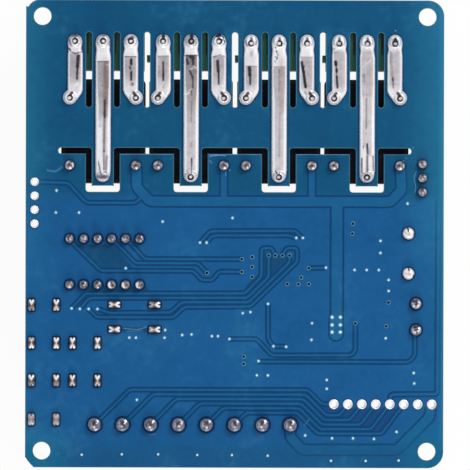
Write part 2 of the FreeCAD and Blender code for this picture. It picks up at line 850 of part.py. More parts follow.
def button_plates():
    """The steel plates that hold the plungers in."""
    plates = []
    for x, y, _ in button_places:
        plate = under(x, y, button_body, button_body, plate_low, button_body_height)
        radius = button_plunger_diameter / 2 + button_plunger_clearance
        plates.append(plate.cut(rod_under(x, y, radius, plate_low, button_body_height)))
    return Part.makeCompound(plates)


def button_plunger(button):
    """The plunger, whose flange rests behind the plate."""
    x, y, _ = button
    radius = button_plunger_diameter / 2
    flange = rod_under(x, y, radius + button_flange, plate_low - button_flange_thickness, plate_low)
    stem = rod_under(x, y, radius, plate_low, button_total_height)
    return fuse([flange, stem])


def button_legs():
    """The legs: out of each side of the housing, then through the board."""
    legs = []
    half = button_body / 2
    shelf = button_well_floor
    for button in button_places:
        for x, y, width, depth, out_x, out_y in button_leg_places(button):
            post = through(x, y, width, depth, shelf, button_leg_tail)
            inner_x = button[0] + out_x * half if out_x else x - width / 2
            inner_y = button[1] + out_y * half if out_y else y - depth / 2
            outer_x = x + (out_x or 1) * width / 2
            outer_y = y + (out_y or 1) * depth / 2
            foot = between(inner_x, outer_x, inner_y, outer_y, shelf, shelf + button_leg_thickness)
            legs.append(fuse([post, foot]))
    return Part.makeCompound(legs)


# Header, choke and capacitor
def header_block():
    x = right - header_inset
    length = header_pins * header_pitch
    block = under(x, header_y, header_base, length, 0, header_base)
    cutters = [under(px, py, w, d, 0, header_base) for px, py, w, d in header_pin_places()]
    return block.cut(Part.makeCompound(cutters))


def header_pin_set():
    return Part.makeCompound([through(x, y, w, d, header_pin_height) for x, y, w, d in header_pin_places()])


def choke_core():
    """The ferrite drum: two flanges on a waist."""
    low, high = face - choke_height, face - choke_standoff
    points = [
        (0, low), (choke_diameter / 2, low), (choke_diameter / 2, low + choke_flange),
        (choke_waist / 2, low + choke_flange), (choke_waist / 2, high - choke_flange),
        (choke_diameter / 2, high - choke_flange), (choke_diameter / 2, high), (0, high),
    ]
    return turned(points, choke_x, choke_y)


def choke_winding():
    low, high = face - choke_height + choke_flange, face - choke_standoff - choke_flange
    points = [
        (choke_waist / 2, low), (choke_winding_diameter / 2, low),
        (choke_winding_diameter / 2, high), (choke_waist / 2, high),
    ]
    return turned(points, choke_x, choke_y)


def round_leads():
    leads = []
    for x, y, radius in round_lead_places():
        start = choke_standoff if radius == choke_lead_diameter / 2 else 0.0
        length = start + board_thickness + pin_tail
        leads.append(Part.makeCylinder(radius, length, vector(x, y, face - start)))
    return Part.makeCompound(leads)


def can_outline(extra):
    """The can's side from its end to its crimped edge, as (radius, z), grown outwards by extra."""
    radius = capacitor_diameter / 2 - capacitor_sleeve + extra
    groove = face - capacitor_bead_height
    return [
        (radius, capacitor_edge), (radius, groove - capacitor_bead_side), (radius - capacitor_bead, groove),
        (radius, groove + capacitor_bead_side), (radius, face - capacitor_bung),
    ]


def capacitor_can():
    """The drawn aluminium can, with the groove that grips the bung and a scored vent."""
    side = can_outline(0)
    points = [(0, 0), (side[0][0] - capacitor_edge, 0)] + side + [(0, face - capacitor_bung)]
    can = turned(points, capacitor_x, capacitor_y)
    long, wide = capacitor_vent_share * capacitor_diameter, capacitor_vent_width
    vent = [under(capacitor_x, capacitor_y, width, depth, face - capacitor_vent_depth, face)
            for width, depth in ((long, wide), (wide, long))]
    return can.cut(Part.makeCompound(vent))


def capacitor_sleeve_shell():
    """The shrunk sleeve, which follows the groove."""
    return turned(can_outline(capacitor_sleeve) + can_outline(0)[::-1], capacitor_x, capacitor_y)


def capacitor_bung_disc():
    radius = capacitor_diameter / 2 - capacitor_sleeve - capacitor_wall
    return rod_under(capacitor_x, capacitor_y, radius, 0, capacitor_bung)


# Small parts
def gull_leg(x, y, side, width, depth, span, height):
    """A leg that leaves a package at mid height, turns down, and lies flat on its pad."""
    reach = (span - depth) / 2
    start = y + side * depth / 2
    knee, heel = start + side * leg_shoulder * reach, start + side * leg_heel * reach
    toe, thick = start + side * reach, side * leg_thickness
    level = (package_standoff + height) / 2
    outline = [
        (start, level), (knee, level), (heel, 0), (toe, 0), (toe, leg_thickness),
        (heel + thick, leg_thickness), (knee + thick, level + leg_thickness), (start, level + leg_thickness),
    ]
    return prism_x(outline, x - width / 2, x + width / 2)


def package(x, y, length, depth, height, span, legs):
    """A moulded package with gull legs, given as (offset, side, width)."""
    body = under(x, y, length, depth, package_standoff, height)
    return fuse([body] + [gull_leg(x + offset, y, side, width, depth, span, height)
                          for offset, side, width in legs])


def two_rows(count):
    return [((k - (count - 1) / 2) * fine_pitch, side, chip_leg_width)
            for k in range(count) for side in (-1, 1)]


def capped_block(x, y, length, depth, height, cap, cap_width):
    """A small two-ended part, whose end caps stand a little proud along X."""
    body = under(x, y, length, depth, package_standoff, height)
    caps = [under(x + side * (length + cap) / 2, y, cap, cap_width, 0, height / 2) for side in (-1, 1)]
    return fuse([body] + caps)


def chip():
    """The controller: a long package with ten legs along each side."""
    return package(chip_from_middle, relay_near - chip_below_relays, chip_length, chip_depth, chip_height,
                   chip_span, two_rows(chip_legs))


def power_packages():
    """The linear regulator with its wide tab, and the eight-leg converter."""
    legs = [(k * regulator_leg_pitch, -1, regulator_leg_width) for k in (-1, 0, 1)]
    regulator = package(regulator_from_middle, relay_near - regulator_below_relays, regulator_length,
                        regulator_depth, regulator_height, regulator_span, legs + [(0, 1, regulator_tab)])
    converter = package(converter_from_middle, relay_near - converter_below_relays, converter_length,
                        converter_depth, converter_height, converter_span, two_rows(converter_legs))
    return Part.makeCompound([regulator, converter])


def driver_parts():
    """For each coil, a transistor that drives it and a diode that quenches it."""
    legs = [(-transistor_leg_side, -1, chip_leg_width), (transistor_leg_side, -1, chip_leg_width),
            (0, 1, chip_leg_width)]
    shapes = []
    for x in channels:
        shapes.append(package(x + transistor_side, driver_row, transistor_length, transistor_depth,
                              transistor_height, transistor_span, legs))
        shapes.append(capped_block(x - diode_side, driver_row, diode_length, diode_depth, diode_height,
                                   diode_cap, diode_cap_width))
    return Part.makeCompound(shapes)


def indicator_lamps():
    """One small lamp a channel, beside its driver."""
    return Part.makeCompound([capped_block(x + lamp_side, driver_row, lamp_length, lamp_depth, lamp_height,
                                           lamp_cap, lamp_depth) for x in channels])


def write(name, shape):
    if not shape.isValid():
        print("not valid:", name)
    shape.exportStep("parts/" + name + ".step")


def main():
    os.makedirs("parts", exist_ok=True)
    write("board", board())
    write("solder_bars", solder_bars())
    write("small_joints", small_joints())
    write("input_joints", input_joints())
    write("button_joints", button_joints())
    write("relay_pins", relay_pins())
    for number, x in enumerate(channels, 1):
        write("relay_cover_%d" % number, relay_cover(x))
        write("relay_base_%d" % number, relay_base(x))
        write("relay_coil_%d" % number, relay_coil(x))
        write("relay_magnet_%d" % number, relay_magnet(x))
        write("relay_armature_%d" % number, relay_armature(x))
        write("output_housing_%d" % number, output_housing(number - 1))
    output_pins = [x + way for x in channels for way in ways]
    clamps = terminal_clamps(output_pins, output_row) + terminal_clamps(input_pins, input_row)
    screws = terminal_screws(output_pins, output_row) + terminal_screws(input_pins, input_row)
    write("terminal_clamps", Part.makeCompound(clamps))
    write("terminal_screws", Part.makeCompound(screws))
    write("terminal_pins", terminal_pins(output_pin_places() + input_pin_places()))
    write("input_housing", terminal_housing(input_pins, input_row, -1))
    write("display_housing", display_housing())
    write("display_segments", Part.makeCompound(digit_segments()))
    write("display_pins", display_pin_set())
    for number, button in enumerate(button_places, 1):
        write("button_housing_%d" % number, button_housing(button))
        write("button_plunger_%d" % number, button_plunger(button))
    write("button_plates", button_plates())
    write("button_legs", button_legs())
    write("header_block", header_block())
    write("header_pins", header_pin_set())
    write("choke_core", choke_core())
    write("choke_winding", choke_winding())
    write("round_leads", round_leads())
    write("capacitor_can", capacitor_can())
    write("capacitor_sleeve", capacitor_sleeve_shell())
    write("capacitor_bung", capacitor_bung_disc())
    write("controller_chip", chip())
    write("power_packages", power_packages())
    write("driver_parts", driver_parts())
    write("indicator_lamps", indicator_lamps())


main()
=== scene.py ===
# %% [markdown]
# # A relay module board, dressed
# The construction comes from the CAD frame: the board, relays, terminals, buttons and pins are
# already there at their real size. This lesson gives each of them a finish, and adds what is too
# thin or too irregular for CAD: tracks under the solder mask, vias, plated holes, and solder.
# Lengths are written in millimetres and turned into metres in one place.

# %% Load the frame
import math
import bpy
import numpy as np
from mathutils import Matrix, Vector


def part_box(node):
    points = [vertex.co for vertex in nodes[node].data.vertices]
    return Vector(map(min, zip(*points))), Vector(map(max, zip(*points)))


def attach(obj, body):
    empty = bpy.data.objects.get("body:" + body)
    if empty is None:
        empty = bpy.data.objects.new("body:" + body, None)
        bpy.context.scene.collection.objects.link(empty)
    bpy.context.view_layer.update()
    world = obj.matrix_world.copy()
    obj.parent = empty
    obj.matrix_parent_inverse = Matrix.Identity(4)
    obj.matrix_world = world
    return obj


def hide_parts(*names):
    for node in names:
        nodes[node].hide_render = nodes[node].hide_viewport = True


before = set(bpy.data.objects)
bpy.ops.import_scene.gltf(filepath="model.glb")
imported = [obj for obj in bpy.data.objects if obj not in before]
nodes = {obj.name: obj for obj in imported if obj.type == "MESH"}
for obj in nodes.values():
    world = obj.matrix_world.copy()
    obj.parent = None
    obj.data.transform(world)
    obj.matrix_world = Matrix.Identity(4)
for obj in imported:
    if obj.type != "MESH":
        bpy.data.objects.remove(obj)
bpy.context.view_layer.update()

mm = 0.001
print("nodes in the frame:", len(nodes))

# %% [markdown]
# ## Places that everything else hangs on
# The frame says where the board, the relays and the pins are, so nothing is typed twice. A small
# function turns a node's box into millimetres. The rows of pins follow from those boxes and from
# the distances that such relays and terminals have.

# %% Read places from the frame
terminal_pitch = 5.08
output_inset = 7.5           # the output terminals' pins, from the top edge
contact_drop = 10.3          # the relays' contact pins, below those
coil_drop = 12.3             # the relays' coil pins, below the contact pins
common_drop = 2.1            # the relays' common pins, below the coil pins
contact_inset = 1.6          # the contact pins, from the sides of the cover
input_inset = (12.65, 7.8)   # the input terminal's first pin, from the lower left corner


def box_mm(name):
    """The lowest and highest corners of a CAD node, in millimetres."""
    low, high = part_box(name)
    return np.array(low) / mm, np.array(high) / mm


def four(name):
    """The nodes of a part that comes once for each relay or each button."""
    return ["%s_%d" % (name, number) for number in (1, 2, 3, 4)]


board_low, board_high = box_mm("board")
left, bottom, component_face = board_low
right, top, solder_face = board_high
channels = [(low[0] + high[0]) / 2 for low, high in map(box_mm, four("relay_cover"))]
cover_low, cover_high = box_mm("relay_cover_4")
contact_side = (cover_high[0] - cover_low[0]) / 2 - contact_inset
output_row = top - output_inset
contact_row = output_row - contact_drop
coil_row = contact_row - coil_drop
common_row = coil_row - common_drop
input_row = bottom + input_inset[1]
input_pins = left + input_inset[0] + terminal_pitch * np.arange(8)
print("channels at x =", np.round(channels, 2), "output row at y =", round(output_row, 2))

# %% [markdown]
# ## Meshes from arrays
# Every new piece is made of rings of points, worked out as one array. Modifiers or curves could
# make some of them, but an array is quick, and its formula can be read. Rings one after another
# always have the same faces, so one helper lists them, another joins several forms into one mesh,
# and a third makes the object and lets it ride on the board's body.

# %% Helpers for meshes
def ring_faces(count, around, loop=False):
    """Quads between neighbouring rings; loop joins the last ring to the first."""
    index = np.arange(count * around).reshape(count, around)
    index = np.hstack([index, index[:, :1]])
    if loop:
        index = np.vstack([index, index[:1]])
    a, b, c, d = index[:-1, :-1], index[:-1, 1:], index[1:, 1:], index[1:, :-1]
    return np.stack([a, b, c, d], axis=-1).reshape(-1, 4)


def join(parts):
    """Several (points, faces) pairs as one pair."""
    points, faces, start = [], [], 0
    for part_points, part_faces in parts:
        points.append(part_points)
        faces.append(part_faces + start)
        start += len(part_points)
    return np.vstack(points), np.vstack(faces)


def in_scene(name, data):
    """A new object with this data, at the origin."""
    thing = bpy.data.objects.new(name, data)
    bpy.context.scene.collection.objects.link(thing)
    return thing


def add_piece(name, points, faces, material, slot, body="module", smooth=True):
    """Makes one object from points in millimetres, at the origin, riding on a body. A face is four
    points, or three with the last one given twice."""
    mesh = bpy.data.meshes.new(name)
    sides = [face[:3] if face[2] == face[3] else face for face in faces.tolist()]
    mesh.from_pydata((points * mm).tolist(), [], sides)
    mesh.polygons.foreach_set("use_smooth", np.full(len(mesh.polygons), smooth))
    mesh.materials.append(material)
    mesh.update()
    piece = in_scene(name, mesh)
    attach(piece, body)
    print("%-22s %6d faces" % (name, len(mesh.polygons)))
    return piece


def lay(name, form, finish, smooth=False):
    """A thin piece of one finish that lies on the board."""
    add_piece(name, *form, finish.material, "solder_mask", smooth=smooth)


def dress(finish, *names):
    """Gives CAD nodes a finish."""
    for name in names:
        nodes[name].data.materials.clear()
        nodes[name].data.materials.append(finish.material)
    print("%-22s on %s" % (finish.material.name, ", ".join(names)))


print("mesh helpers ready")

# %% [markdown]
# ## Shader maths that reads like maths
# A material is a small program. It could be drawn in the shader editor, but text is easier to
# compare and to repeat. One class wraps a node's output, so that sums and masks are written as
# Python expressions, and each operator adds a Math node.

# %% Values
def connect(source, socket):
    """Links a socket to a value, or sets it to a constant."""
    if isinstance(source, Value):
        source.tree.links.new(source.socket, socket)
    else:
        socket.default_value = source


class Value:
    """A node's output that can be added, multiplied and compared."""

    def __init__(self, tree, socket):
        self.tree = tree
        self.socket = socket

    def maths(self, operation, *terms):
        node = self.tree.nodes.new("ShaderNodeMath")
        node.operation = operation
        for term, socket in zip(terms, node.inputs):
            connect(term, socket)
        return Value(self.tree, node.outputs[0])

    def __add__(self, other):
        return self.maths("ADD", self, other)

    def __mul__(self, other):
        return self.maths("MULTIPLY", self, other)

    __radd__ = __add__
    __rmul__ = __mul__

    def __sub__(self, other):
        return self.maths("SUBTRACT", self, other)

    def __rsub__(self, other):
        return self.maths("SUBTRACT", other, self)

    def __mod__(self, other):
        return self.maths("FLOORED_MODULO", self, other)

    def __abs__(self):
        return self.maths("ABSOLUTE", self)

    def largest(self, other):
        return self.maths("MAXIMUM", self, other)

    def smallest(self, other):
        return self.maths("MINIMUM", self, other)


print("values can be added, multiplied and compared")

# %% [markdown]
# Any other node comes from one method, which takes the node's type, its settings and the values
# or links of its sockets. A material is a node tree that also knows its place: patterns read
# Object coordinates, turned into millimetres, so a grain has the same size on every part.

# %% Node trees and materials
def srgb(red, green, blue):
    """A colour given as 0 to 255 steps, as the linear values that a shader takes."""
    steps = np.array([red, green, blue]) / 255
    linear = np.where(steps <= 0.04045, steps / 12.92, ((steps + 0.055) / 1.055) ** 2.4)
    return (*linear.tolist(), 1.0)


class Graph:
    """A node tree being written."""

    def __init__(self, tree):
        self.tree = tree

    def node(self, kind, settings=None, inputs=None, out=0):
        """Any node: its settings first, then the values or links of its sockets."""
        node = self.tree.nodes.new(kind)
        for key, setting in (settings or {}).items():
            if key == "stops":
                ramp = node.color_ramp
                while len(ramp.elements) < len(setting):
                    ramp.elements.new(0.5)
                for element, (position, colour) in zip(ramp.elements, setting):
                    element.position, element.color = position, colour
            else:
                setattr(node, key, setting)
        for key, value in (inputs or {}).items():
            connect(value, node.inputs[key])
        return Value(self.tree, node.outputs[out])

    def part(self, vector, axis):
        """The X, Y or Z of a vector."""
        return self.node("ShaderNodeSeparateXYZ", inputs={0: vector}, out=axis)

    def ray(self, kind):
        """1 for rays of one kind, and 0 for all others."""
        return self.node("ShaderNodeLightPath", out=kind)

    def show(self, output, factor, first, second):
        """Blends two shaders and sends the blend to the tree's output."""
        blend = self.node("ShaderNodeMixShader", inputs={0: factor, 1: first, 2: second})
        connect(blend, self.tree.nodes[output].inputs["Surface"])


class Finish(Graph):
    """A material being written: constants go on the shader itself, patterns are linked to it."""

    def __init__(self, name, **constants):
        self.material = bpy.data.materials.new(name)
        self.material.use_nodes = True
        super().__init__(self.material.node_tree)
        self.shader = self.tree.nodes["Principled BSDF"]
        for socket, value in constants.items():
            self.shader.inputs[socket.replace("_", " ")].default_value = value
        place = self.node("ShaderNodeTexCoord", out="Object")
        self.place = self.node("ShaderNodeVectorMath", {"operation": "SCALE"},
                               {0: place, "Scale": 1 / mm})
        self.x, self.y, self.z = (self.part(self.place, axis) for axis in "XYZ")

    def step(self, value, start, end):
        """0 before start, 1 after end, smooth between them."""
        return self.node("ShaderNodeMapRange", {"interpolation_type": "SMOOTHSTEP"},
                         {"Value": value, "From Min": start, "From Max": end})

    def noise(self, size, detail=2.0, roughness=0.5, place=None):
        """Noise from 0 to 1 with features of about that size in millimetres."""
        return self.node("ShaderNodeTexNoise", {}, {"Vector": place or self.place,
                                                    "Scale": 1 / size, "Detail": detail,
                                                    "Roughness": roughness})

    def mix(self, factor, first, second):
        return self.node("ShaderNodeMix", {"data_type": "RGBA"},
                         {0: factor, 6: first, 7: second}, out=2)

    def attribute(self, name):
        return self.node("ShaderNodeAttribute", {"attribute_name": name}, out="Fac")

    def upward(self):
        """1 on a face that looks up, -1 on one that looks down, 0 on an upright one."""
        return self.part(self.node("ShaderNodeNewGeometry", out="True Normal"), "Z")

    def stretched(self, *scales):
        """The place with each axis scaled, so that noise becomes streaks."""
        return self.node("ShaderNodeVectorMath", {"operation": "MULTIPLY"},
                         {0: self.place, 1: scales})

    def link(self, socket, value):
        connect(value, self.shader.inputs[socket])

    def colour(self, value):
        self.link("Base Color", value)

    def roughness(self, value):
        self.link("Roughness", value)

    def bump(self, height, distance):
        """Bumps of that height in millimetres."""
        self.link("Normal", self.node("ShaderNodeBump", {}, {"Height": height, "Strength": 1.0,
                                                             "Distance": distance * mm}))


print("shader helpers ready")

# %% [markdown]
# ## Camera, light and floor
# The board was looked at from straight above through a long lens, so the camera hangs high over
# it and looks down. A tent of even light with a darker top gives metal something to reflect: flat
# solder turns grey and its sloping sides turn white. The floor glows white where the camera or a
# reflection looks at it, so that slots and holes show white as well, but it keeps a little of
# the object's shadow. Above its far edge the sky is just as white for the camera and for low
# reflections, so that no grey band shows from the side.

# %% Camera
photo_lens = 600.0
photo_sensor = 36.0
camera_height = 1440.8
camera_centre = (0.07, -0.2)
camera_roll = 0.149
camera_reach = 20.0          # metres, well past the floor's far edge

camera_data = bpy.data.cameras.new("camera")
camera_data.lens = photo_lens
camera_data.sensor_width = photo_sensor
camera_data.clip_end = camera_reach
camera = in_scene("camera", camera_data)
camera.location = (camera_centre[0] * mm, camera_centre[1] * mm, camera_height * mm)
camera.rotation_euler = (0, 0, math.radians(camera_roll))
bpy.context.scene.camera = camera
bpy.context.scene.view_settings.view_transform = "Standard"
print("camera", camera_height, "mm up")

# %% Light tent
tent_strength = 0.64
horizon_level = 0.95
ring_level = 1.05
zenith_level = 0.55
white = (1.0, 1.0, 1.0, 1.0)

world = bpy.data.worlds.new("light_tent")
bpy.context.scene.world = world
world.use_nodes = True
sky = Graph(world.node_tree)
height = sky.part(sky.node("ShaderNodeTexCoord", out="Generated"), "Z")
levels = ((0.0, horizon_level), (0.35, horizon_level), (0.6, ring_level), (0.85, ring_level),
          (0.97, zenith_level))
stops = [(position, (level, level, level, 1.0)) for position, level in levels]
tent = sky.tree.nodes["Background"]
tent.inputs["Strength"].default_value = tent_strength
connect(sky.node("ShaderNodeValToRGB", {"stops": stops}, {"Fac": height}), tent.inputs["Color"])
white_sky = sky.node("ShaderNodeBackground", {}, {"Color": white, "Strength": 1.0})
low_sky = (height * -4.0 + 1.4).largest(0.0).smallest(1.0)
mirrored = sky.ray("Is Glossy Ray").largest(sky.ray("Is Transmission Ray")) * low_sky
seen = mirrored.largest(sky.ray("Is Camera Ray"))
sky.show("World Output", seen, Value(sky.tree, tent.outputs[0]), white_sky)


def soft_lamp(name, place, size, power):
    """A square lamp at a place in millimetres, aimed at the board."""
    data = bpy.data.lights.new(name, "AREA")
    data.size = size * mm
    data.energy = power
    lamp = in_scene(name, data)
    lamp.location = [value * mm for value in place]
    aim = -lamp.location
    lamp.rotation_euler = aim.to_track_quat("-Z", "Y").to_euler()


soft_lamp("key_lamp", (260.0, 330.0, 420.0), size=220.0, power=1.5)
soft_lamp("low_lamp", (60.0, -420.0, 260.0), size=160.0, power=0.7)
print("light tent and two lamps")

# %% Floor
floor_half = 1500.0
floor_tint = 0.97
camera_share = 0.94          # how much of the floor's white is glow, and free of shadow

floor_finish = Finish("pale_floor", Roughness=0.8,
                      Base_Color=(floor_tint, floor_tint, floor_tint, 1.0))
seen = floor_finish.ray("Is Camera Ray")
for kind in ("Is Glossy Ray", "Is Transmission Ray"):
    seen = seen.largest(floor_finish.ray(kind))
glow = floor_finish.node("ShaderNodeEmission", {}, {"Color": white, "Strength": 1.0})
surface = Value(floor_finish.tree, floor_finish.shader.outputs[0])
floor_finish.show("Material Output", seen * camera_share, surface, glow)

corners = np.array([(-1, -1), (1, -1), (1, 1), (-1, 1)]) * floor_half
floor_mesh = bpy.data.meshes.new("floor")
floor_mesh.from_pydata([(x * mm, y * mm, 0.0) for x, y in corners], [], [(0, 1, 2, 3)])
floor_mesh.materials.append(floor_finish.material)
floor = in_scene("floor", floor_mesh)
print("floor at z = 0")

# %% [markdown]
# ## Solder mask
# The blue lacquer lies over copper almost everywhere, and over bare laminate in the isolation
# area round the relays, where it looks darker and greener. Fine weave shows through it. The cut
# sides of the board are not coated: there the laminate shows, paler and more grey. A finish
# for each tint could be written on its own, but one function makes the lacquer in any of them,
# so tracks and gaps share the drift of the board they lie on.

# %% Solder mask finish
pour_colour = srgb(25, 88, 141)
upper_colour = srgb(17, 81, 120)
teal_colour = srgb(44, 124, 160)
foot_colour = srgb(24, 82, 122)
corner_colour = srgb(20, 108, 142)
cloud_dark = srgb(12, 62, 104)
cloud_light = srgb(54, 124, 164)
laminate_side = srgb(92, 124, 128)
laminate_fibre = srgb(58, 96, 104)
weave_scale = 0.62
tint_drift = 0.32            # how far the lacquer's tint wanders over the board
film_drift = 0.15            # and over most thin pieces


def lacquer(name, colour, upper=None, drift=tint_drift):
    """Solder mask of one tint, or of two that meet below the relays. It is more teal by the
    sides and in the lower corners, and drifts in clouds. Returned with its tint, unlinked."""
    finish = Finish(name, Specular_IOR_Level=0.08)
    across, down = finish.x, 0 - finish.y
    border = finish.y + (finish.noise(3.0) - 0.5) * 3.0
    tint = finish.mix(finish.step(border, 5.6, 8.2), colour, upper) if upper else colour
    sides = finish.step(across, right - 10.0, right + 1.0)
    sides = sides + finish.step(0 - across, right - 6.0, right + 2.0)
    upper_share = finish.step(finish.y, -14.0, 10.0) * 0.36 + 0.1
    brink = finish.step(across, right - 1.3, right - 0.3)
    tint = finish.mix(sides * upper_share + brink * 0.3, tint, teal_colour)
    tint = finish.mix(finish.step(down, top - 6.0, top - 2.0) * 0.55, tint, foot_colour)
    corner = finish.step(down, top - 9.5, top - 2.5)
    corner = corner * finish.step(abs(across), right - 9.5, right - 3.0)
    tint = finish.mix(corner * 0.6, tint, corner_colour)
    clouds = finish.noise(11.0, detail=5.0, roughness=0.62) - 0.5
    clouds = clouds + (finish.noise(1.3, detail=3.0) - 0.5) * 0.45
    darker = finish.mix(finish.step(0 - clouds, 0.0, 0.3) * drift, tint, cloud_dark)
    lighter = finish.mix(finish.step(clouds, 0.0, 0.3) * drift, darker, cloud_light)
    inputs = {"Vector": finish.place, "Scale": weave_scale, "Distortion": 0.6, "Detail": 1.0}
    weave, cross = (finish.node("ShaderNodeTexWave", {"bands_direction": axis}, inputs, "Fac")
                    for axis in "XY")
    finish.bump((weave + cross) * 0.3 + finish.noise(0.35, detail=3.0) * 0.5, 0.004)
    finish.roughness(finish.noise(4.0) * 0.14 + 0.29)
    return finish, lighter


def film(name, colour, drift=film_drift):
    """Lacquer of one tint for a thin piece on the board."""
    finish, tint = lacquer(name, colour, drift=drift)
    finish.colour(tint)
    return finish


mask, mask_tint = lacquer("solder_mask", pour_colour, upper_colour)
fibres = mask.noise(0.5, detail=3.0, place=mask.stretched(0.3, 0.3, 3.0))
side_tint = mask.mix(fibres, laminate_side, laminate_fibre)
mask.colour(mask.mix(mask.step(abs(mask.upward()), 0.3, 0.7), side_tint, mask_tint))
dress(mask, "board")

# The gap tint also serves for the painted shade round the solder bars.
gap_and_bar_shade_finish = film("mask_gap_and_bar_shade", srgb(13, 64, 109))
track_finish = film("mask_track", srgb(25, 91, 139), 0.3)
bare_finish = film("mask_bare_laminate", srgb(18, 72, 112), 0.3)
# The dark tint also serves for the painted shade round the plated holes.
dark_finish = film("mask_between_lanes_and_hole_shade", srgb(24, 71, 124))
rim_finish = film("mask_rim", srgb(70, 118, 132))
ring_finish = film("mask_via_ring", srgb(62, 130, 172))
pale_ring_finish = film("mask_pale_ring", srgb(98, 150, 174))
# The halo and foot tints below are painted shade, laid round joints and pads.
halo_shade_finish = film("mask_painted_halo_shade", srgb(17, 50, 92), 0.3)
shadow_finish = film("mask_painted_foot_shadow", srgb(13, 34, 70), 0.1)
residue_finish = film("dried_flux", srgb(104, 154, 200), 0.4)
haze_finish = film("flux_haze", srgb(56, 112, 156), 0.4)
print("eleven more tints of the lacquer")

# %% [markdown]
# ## Closed forms from rings
# Solder, tracks, rings and pads are all the same kind of surface: rings of points, one after the
# other, with a fan that closes each end. The rings of a cone are circles, those of a track are
# its section, and those of a solder bar are its humps from side to side. A ring-shaped thing
# has no ends, and its last ring joins its first. Faces come out pointing outwards when the
# rings run anticlockwise about the way they go.

# %% Helpers for closed forms
def capped(rings):
    """Quads between neighbouring rings, and a fan from each end ring to its mean point."""
    count, around = rings.shape[:2]
    points = np.vstack([rings.reshape(-1, 3), rings[0].mean(axis=0), rings[-1].mean(axis=0)])
    here = np.arange(around)
    after = (here + 1) % around
    last = (count - 1) * around
    hub = np.full(around, count * around)
    start_fan = np.stack([hub, after, here, here], axis=1)
    end_fan = np.stack([hub + 1, last + here, last + after, last + after], axis=1)
    return points, np.vstack([ring_faces(count, around), start_fan, end_fan])


def looped(rings):
    """Quads between neighbouring rings, and from the last ring back to the first."""
    return rings.reshape(-1, 3), ring_faces(*rings.shape[:2], loop=True)


def turned(profile, segments):
    """Rings of a turned form: point k of ring j is (r_j cos a_k, r_j sin a_k, h_j)."""
    angles = np.linspace(0, 2 * math.pi, segments, endpoint=False)
    radii, heights = np.array(profile, float).T
    across, along = np.outer(radii, np.cos(angles)), np.outer(radii, np.sin(angles))
    return np.dstack([across, along, np.outer(heights, np.ones(segments))])


def spread(form, centres):
    """Copies of a form that stand on the solder face, one at each centre."""
    points, faces = form
    places = np.column_stack([centres, np.full(len(centres), solder_face)])
    shifts = len(points) * np.arange(len(places))[:, None, None]
    return (places[:, None] + points).reshape(-1, 3), (faces + shifts).reshape(-1, 4)


print("closed forms ready")

# %% [markdown]
# ## Tracks under the mask
# A track is a strip of copper with a narrow gap of bare laminate on each side, which cuts it out
# of the copper round it. Under the mask the gap looks dark and the strip a little raised. Both
# are ribbons: a short section is carried along a route of given points, mitred at each turn. A
# curve with a bevel would bulge at the turns. The gaps lie lowest, and each ribbon is a hair
# above the one before, so that no two lie in one plane.

# %% Ribbon along a route
gap_width = 0.34
track_width = 0.42
track_bevel = 0.06
gap_level = 0.008
track_level = 0.035
level_step = 0.0006
turn_radius = 0.6
turn_share = 0.45            # of a run, at most


def softened(route):
    """A route whose turns are curves: B is a turn, A and C lie a radius before and after it, and
    the curve is (1 - t)^2 A + 2 t (1 - t) B + t^2 C."""
    route = np.array(route, float)
    share = np.linspace(0, 1, 6)[:, None]
    soft = [route[:1]]
    for before, turn, after in zip(route, route[1:], route[2:]):
        back, on = before - turn, after - turn
        start = turn + back * min(turn_radius / np.linalg.norm(back), turn_share)
        end = turn + on * min(turn_radius / np.linalg.norm(on), turn_share)
        soft.append((1 - share) ** 2 * start + 2 * share * (1 - share) * turn + share ** 2 * end)
    return np.vstack(soft + [route[-1:]])


def ribbon(route, width, level):
    """The section's corners at each point of a route. The offset across is the mitre of the two
    runs that meet there, (n0 + n1) / (1 + n0.n1), so that the strip keeps its width."""
    route = softened(route)
    runs = np.diff(route, axis=0)
    runs /= np.linalg.norm(runs, axis=1)[:, None]
    across = np.stack([-runs[:, 1], runs[:, 0]], axis=1)
    before = np.vstack([across[:1], across])
    after = np.vstack([across, across[-1:]])
    mitre = (before + after) / (1 + np.sum(before * after, axis=1))[:, None]
    half, top_half = width / 2, width / 2 - track_bevel
    offsets = np.array([half, top_half, -top_half, -half])
    heights = solder_face + np.array([0.0, level, level, 0.0])
    plan = route[:, None] + mitre[:, None] * offsets[None, :, None]
    return np.dstack([plan, np.broadcast_to(heights, plan.shape[:2])])


def plate(outline, level):
    """Two copies of an outline, at the solder face and at a level above it. The sign of its
    area, the sum of x0 y1 - y0 x1 over its sides, tells which way round it runs."""
    outline = np.array(outline, float)
    x, y = outline.T
    area = np.sum(x * np.roll(y, -1) - y * np.roll(x, -1))
    outline = outline if area > 0 else outline[::-1]
    return np.stack([np.column_stack([outline, np.full(len(outline), solder_face + z)])
                     for z in (0.0, level)])


def pill(x, low, high, width):
    """The outline of an upright bar with round ends."""
    angles = np.linspace(0, math.pi, 13)
    reach, rise = width / 2 * np.cos(angles), width / 2 * (np.sin(angles) - 1)
    return np.vstack([np.column_stack([x + reach, high + rise]),
                      np.column_stack([x - reach, low - rise])])


def ribbons(name, routes, finish, level, plates=()):
    """Ribbons and plates as one piece, each a hair above the one before: routes is a list of
    (points, width)."""
    forms = [ribbon(points, width, level + k * level_step)
             for k, (points, width) in enumerate(routes)]
    forms += [plate(outline, level + k * level_step)
              for k, outline in enumerate(plates, len(routes))]
    lay(name, join([capped(form) for form in forms]), finish)


print("ribbons are ready")
